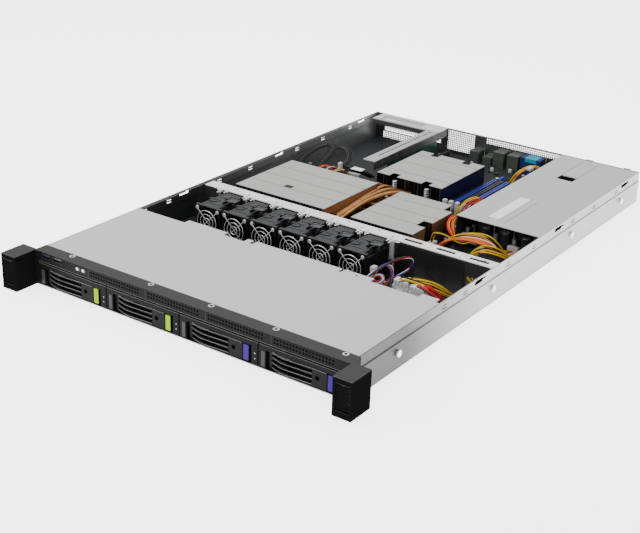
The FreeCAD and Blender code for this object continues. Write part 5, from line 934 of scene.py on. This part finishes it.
# The lid's faces inside the housing carry painted shade.
shade_inside(lid_paint, (height < 41.9) * (along < 700), (0.035, 0.035, 0.037))
dress(lid_paint, "psu_cage")
kept(bar("lid_window_shade", (137.6, 617.3, 41.0), (161, 633.7, 41.3), 0), shade_black)
module_steel = sheet_metal("module_steel", ZINC_DARK, ZINC_LIGHT, 0.4, 0.6)
beyond = module_steel.place.along("Y") > MODULE_REAR
module_steel.set("Base Color", beyond.over(module_steel.shade_node, (0.012, 0.012, 0.013)))
module_steel.set("Metallic", 0.6 - 0.6 * beyond)
dress(module_steel, "psu_module_1", "psu_module_2")
release_blue = moulded("release_tab", (0.06, 0.06, 0.32), (0.09, 0.09, 0.42), 0.35, 0.2)
dress(release_blue, "psu_latch_1", "psu_latch_2")
label_white = Finish("label_white", 0.55)
paper_grain = label_white.place.noise(300, 3)
label_white.set("Base Color", paper_grain.shade((0.84, 0.84, 0.84), (0.93, 0.93, 0.93)))
kept(bar("blank_label", (134.5, 429, 42.65), (149.5, 517, 42.85), 0.08), label_white)
kept(bar("lid_tray_edge", (150.6, 424, 42.65), (151.5, 521, 43.0), 0.15), lid_paint)


# Power board parts
# Coils, capacitors and finned sinks on the power board, seen through the open
# front of the cage.
CAN_PLACES = ((110, 424), (112, 436), (148, 427), (176, 424), (190, 430), (203, 425), (206, 437), (164, 434))
sink_fins, silver_parts = [], []
for number in range(3):
    x = 123.2 + 28 * number
    for step in range(7):
        y = 431 + step * 8
        sink_fins.append(bar("sink_fin", (x - 2.2, y, 9), (x + 7.2, y + 2, 32), 0.2))
    silver_parts.append(post((x + 14, 421, 31.2), 5.6, 0.8, 20, edge=0.3))
    silver_parts.append(bar("strap", (x + 22, 425, 10), (x + 23, 429, 33), 0.2))
silver_parts += [post((x, y, 16), 3.4, 16, 16, edge=0.4) for x, y in CAN_PLACES]
kept(joined("power_sink_fins", sink_fins), chip_black)
kept(joined("power_capacitor_tops", silver_parts), can_steel)


# Wall hooks and card window mesh
# Small hooks and dots with painted highlight along the left wall's rim, slots
# painted dark as shade in the right wall's rim, and a pierced blank plate in the
# card window.
hooks, slots = [], []
for y in (384, 491, 555, 619):
    hooks.append(strand("hook", [
        (-217.4, y + 5, 36), (-217.2, y - 3, 35.6), (-217.2, y - 6, 38), (-217.2, y - 3, 40.4),
        (-217.4, y + 5, 40),
    ], 0.4))
for y in (517, 567, 440, 642):
    hooks.append(bar("dot", (-217.9, y - 1.1, 37), (-217.2, y + 1.1, 39.2), 0.2))
for y in (255, 457, 662):
    slots.append(bar("slot", (217.7, y - 9, 36.6), (217.95, y + 7, 41.4), 0.1))
    slots.append(bar("slot", (217.7, y + 5, 38.6), (217.95, y + 15, 40.6), 0.1))
kept(joined("wall_hooks", hooks), highlit_zinc)
kept(joined("rim_slots", slots), shade_black)
COLUMN_PITCH, ROW_PITCH = 3.6, 3.1
mesh_black = Finish("mesh_black", 0.5, 0.3, (0.02, 0.02, 0.021))
across, height = mesh_black.place.along("X"), mesh_black.place.along("Z")
odd = (height / ROW_PITCH) % 2.0 > 1.0
cell_x = (across + odd * (COLUMN_PITCH / 2)) % COLUMN_PITCH - COLUMN_PITCH / 2
cell_z = height % ROW_PITCH - ROW_PITCH / 2
mesh_black.set("Alpha", 1 - (cell_x * cell_x + cell_z * cell_z < 1.55))
kept(bar("card_window_mesh", (-204, 716.0, 17.5), (-101, 716.4, 35.5), 0), mesh_black)


# Wiring
# Bunches of thin leads in coloured jackets. They run from headers on the power
# board to the drive plugs, the motherboard and the fans, each in its own arc.
JACKETS = {
    "yellow": ((0.55, 0.34, 0.004), (0.78, 0.52, 0.012)),
    "orange": ((0.62, 0.14, 0.005), (0.75, 0.22, 0.012)),
    "salmon": ((0.5, 0.055, 0.012), (0.64, 0.10, 0.03)),
    "red": ((0.4, 0.004, 0.008), (0.56, 0.012, 0.014)),
    "maroon": ((0.07, 0.008, 0.012), (0.13, 0.02, 0.025)),
    "black": ((0.004, 0.004, 0.0045), (0.012, 0.012, 0.0125)),
    "white": ((0.5, 0.5, 0.49), (0.72, 0.72, 0.7)),
    "blue": ((0.02, 0.05, 0.28), (0.04, 0.09, 0.42)),
    "grey": ((0.02, 0.02, 0.022), (0.04, 0.04, 0.042)),
}
jackets = {name: moulded(f"{name}_jacket", dark, light, 0.42) for name, (dark, light) in JACKETS.items()}
wires_by_colour = {name: [] for name in JACKETS}
LEAD_CEILING = 43.4


def bunch(route, colours, radius=0.85, spread=1.9, twist=0.0, flat=False):
    """Several leads along one route, side by side or twisted round it."""
    count = len(colours)
    for place_in, colour in enumerate(colours):
        points = []
        for step, (x, y, z) in enumerate(route):
            if flat:
                shift = (place_in - (count - 1) / 2) * spread
                offset = (shift * 0.55, shift * 0.85, 0)
            else:
                angle = math.tau * place_in / count + twist * step
                low_sine = math.sin(angle) * spread * 0.7
                offset = (math.cos(angle) * spread, low_sine, low_sine)
            points.append((x + offset[0], y + offset[1], min(z + offset[2], LEAD_CEILING - radius)))
        wires_by_colour[colour].append(strand("lead", points, radius))


# drive leads, out of the two upright plugs and over in an arch
arch_rear = (
    (143.5, 203.5, 31), (143.5, 203.5, 37), (150.5, 203.5, 40.5), (180.5, 211.5, 35), (198, 231, 20),
    (198, 262, 8), (198, 301.3, 8), (172, 318.3, 9), (161, 332, 24), (169, 341, 41), (190, 345, 41),
    (202, 364, 24), (203.4, 389.3, 14.6), (203.4, 413, 14.6),
)
arch_front = (
    (151.5, 208.5, 31), (151.5, 208.5, 37), (158.5, 210.9, 40.5), (182.5, 220.5, 38), (192.5, 237, 20),
    (192.5, 262, 8), (192.5, 301.3, 8), (175, 311, 9), (165, 321, 24), (175, 330, 41), (198, 334, 40),
    (208.5, 362, 23), (210.2, 389.3, 14.6), (210.2, 413, 14.6),
)
bunch(arch_rear, ("yellow", "black", "yellow", "black"), radius=0.8, spread=2.4, twist=0.1)
bunch(arch_front, ("yellow", "black", "yellow", "maroon", "yellow"), radius=0.8, spread=2.6, twist=0.1)
STRAIGHT_LEADS = ((-1, 167, 201, 208.5, 210.2, "black"), (1, 174, 206, 203.5, 203.4, "red"))
for lane, out, level, aside, end, third in STRAIGHT_LEADS:
    straight = (
        (out, level, 30), (out, level, 36), (out + 7, level, 39), (out + 20 - 4 * lane, level + 2 * lane, 34),
        (aside, 215.5 + 4 * lane, 16), (aside, 255.5, 15), (aside, 307.3, 15), (aside, 349.3, 9.8),
        (end, 385.3, 9.8), (end, 413, 9.8),
    )
    bunch(straight, ("red", "red", third), spread=1.5)

# main leads, a broad ribbon arching from the power board to the motherboard
RIBBON = (
    ("salmon", "orange", "salmon"), ("orange", "salmon", "white"), ("black", "orange", "black"),
    ("yellow", "black", "yellow"),
)
for number, colours in enumerate(RIBBON):
    x = 179.2 + (1.5 - number) * 3.9
    crest, landing = 347 + 8 * number, 331.1 + 4.6 * number
    ribbon = (
        (x, 413, 12.3), (x, 399, 12.3), (x + 3, crest + 14, 24), (x - 6, crest + 3, 40),
        (152.2, crest, 42.4), (128.2, crest - 6, 38), (112, landing, 22), (104.5, landing, 13),
        (96.5, landing, 13),
    )
    bunch(ribbon, colours, radius=0.9, spread=2.9, flat=True)

# side leads, beside the right fin stack
for x, front, turn, end in ((90.05, 392, (112.2, 382, 22), 116.5), (94.45, 397, (110.2, 387, 22), 111.9)):
    side = (
        (x, 433, 17.8), (x, 433, 30), (x + 0.5, 415, 36), (x + 6, front, 34), turn, (end, 398, 9.8),
        (end, 413, 9.8),
    )
    bunch(side, ("orange", "salmon", "red"), spread=1.5)
middle = (
    (92.25, 364.5, 17.8), (92.25, 364.5, 30), (104.25, 368.5, 31), (123.2, 378.5, 18), (125.2, 398.5, 14.6),
    (125.2, 413, 14.6),
)
bunch(middle, ("yellow", "black", "yellow", "black"), radius=0.8, spread=1.6)

# fan leads, thin and twisted, standing up in a loop
loop = (
    (111.4, 173.2, 22), (111.4, 188.6, 22), (101.4, 206.6, 18), (99.4, 224.6, 29), (108.4, 238.6, 37),
    (120.4, 230.6, 27), (116.4, 220.6, 11), (97.4, 238.6, 8), (81.6, 238.6, 8),
)
LOOP_COLOURS = ("red", "blue", "white", "black", "orange", "grey", "maroon", "blue")
bunch(loop, LOOP_COLOURS, radius=0.5, spread=2.3, twist=1.2)
low_coil = (
    (100, 177, 20), (94, 184, 30), (104, 190, 34), (118, 190, 30), (128, 196, 33), (119, 206, 36),
    (106, 204, 28), (97, 212, 20), (84, 222, 10),
)
LOW_COLOURS = ("orange", "blue", "white", "red", "black", "maroon", "yellow", "salmon")
bunch(low_coil, LOW_COLOURS, radius=0.55, spread=3.2, twist=1.5)
tall_coil = (
    (104, 184, 28), (108, 202, 36), (113, 226, 40), (118, 250, 42), (124, 266, 38), (122, 268, 24),
    (114, 254, 16), (104, 240, 10),
)
bunch(tall_coil, ("blue", "white", "red", "black", "maroon", "grey"), radius=0.55, spread=1.6, twist=1.3)

# cable loops left of the riser and small leads about the board
flat_loop = (
    (-200, 470, 18), (-201, 484, 28), (-198, 515, 37), (-192, 540, 39), (-182, 545, 37), (-176, 525, 32),
    (-174, 500, 26), (-172, 480, 12),
)
bunch(flat_loop, ("black", "black", "grey", "black", "black"), radius=1.5, spread=2.9, flat=True)
round_loop = (
    (-178, 486, 9), (-178, 505, 26), (-180, 535, 35), (-172, 553, 36), (-156, 546, 34), (-146, 530, 28),
    (-148, 512, 22), (-152, 496, 12),
)
bunch(round_loop, ("black", "grey", "black", "black"), radius=1.5, spread=2.8, flat=True)
tail_lead = ((-150, 520, 24), (-140, 508, 25), (-125, 500, 26), (-108, 508, 25), (-98, 520, 16))
bunch(tail_lead, ("black", "black", "black"), radius=1.5, spread=2.4)
SPRAYS = (("red", "white", "orange"), ("white", "black", "red"), ("yellow", "orange", "white"))
for number, colours in enumerate(SPRAYS):
    x = -170 + 13 * number
    spray = ((x, 462, 8), (x + 2, 474, 22), (x + 7, 492, 27), (x + 12, 506, 20), (x + 14, 514, 8))
    bunch(spray, colours, radius=0.6, spread=1.6, twist=0.9)
UP_LEADS = (
    ("yellow", "black", "yellow", "yellow"), ("red", "maroon", "salmon"), ("orange", "black", "salmon"),
)
for number, colours in enumerate(UP_LEADS):
    x = 76 + 7 * number
    up_lead = (
        (x, 452, 8), (x, 455, 27), (x + 2, 464, 36), (x + 3, 480, 37 - number), (x + 6, 498, 35),
        (x + 8, 514, 24), (x + 8, 522, 16),
    )
    bunch(up_lead, colours, radius=0.8, spread=1.8, twist=0.5)
rear_arch = ((60, 636, 8), (62, 642, 20), (72, 656, 32), (84, 668, 33), (93, 676, 24), (95, 684, 9))
bunch(rear_arch, ("yellow", "yellow", "yellow", "black", "orange"), radius=0.8, spread=2.0, twist=0.3)

# white connectors and sleeves on the small leads
kept(bar("blank_cable_tag", (-121, 497, 28.6), (-103, 508, 29.3), 0.2), label_white)
shells = []
for x, y, top in POWER_PLUGS:
    shells.append(bar("shell", (x - 9.4, y - 4.6, top), (x + 9.4, y + 4.6, top + 7), 0.6))
    for step in range(4):
        rib_x = x - 8.4 + step * 4.6
        shells.append(bar("rib", (rib_x, y - 5.2, top + 0.6), (rib_x + 1.8, y - 4.5, top + 6.4), 0.2))
kept(joined("drive_plug_shells", shells), milky)
PLUGS = (
    ((98, 214, 30), (104, 222, 37), 0.6), ((92, 505, 14), (100, 516, 22), 0.6),
    ((76, 650, 30), (84, 660, 35), 1.2), ((90, 632, 7.8), (96, 640, 18), 0.6),
    ((-143, 497, 24), (-138, 503, 33), 0.6), ((-128, 505, 9), (-112, 512, 19), 0.5),
)
plugs = [bar("plug", low, high, edge) for low, high, edge in PLUGS]
kept(joined("small_plugs", plugs), header_white)
HEADERS = (
    ((106.2, 413, 6.8), (128.2, 419, 17.8)), ((171.7, 413, 6.8), (186.7, 419, 17.8)),
    ((200.3, 413, 6.8), (213.3, 419, 17.8)), ((88, 328, BOARD_TOP), (96.5, 348, 17.8)),
    ((88, 357.5, BOARD_TOP), (96.5, 371.5, 17.8)), ((88, 427, BOARD_TOP), (96.5, 439, 17.8)),
)
headers = [bar("header", low, high, 0.4) for low, high in HEADERS]
headers = kept(joined("lead_headers", headers), header_white)
for colour, strands in wires_by_colour.items():
    piece = kept(joined(f"{colour}_leads", strands), jackets[colour])
    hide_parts("wiring_harness")
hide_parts("wiring_harness")
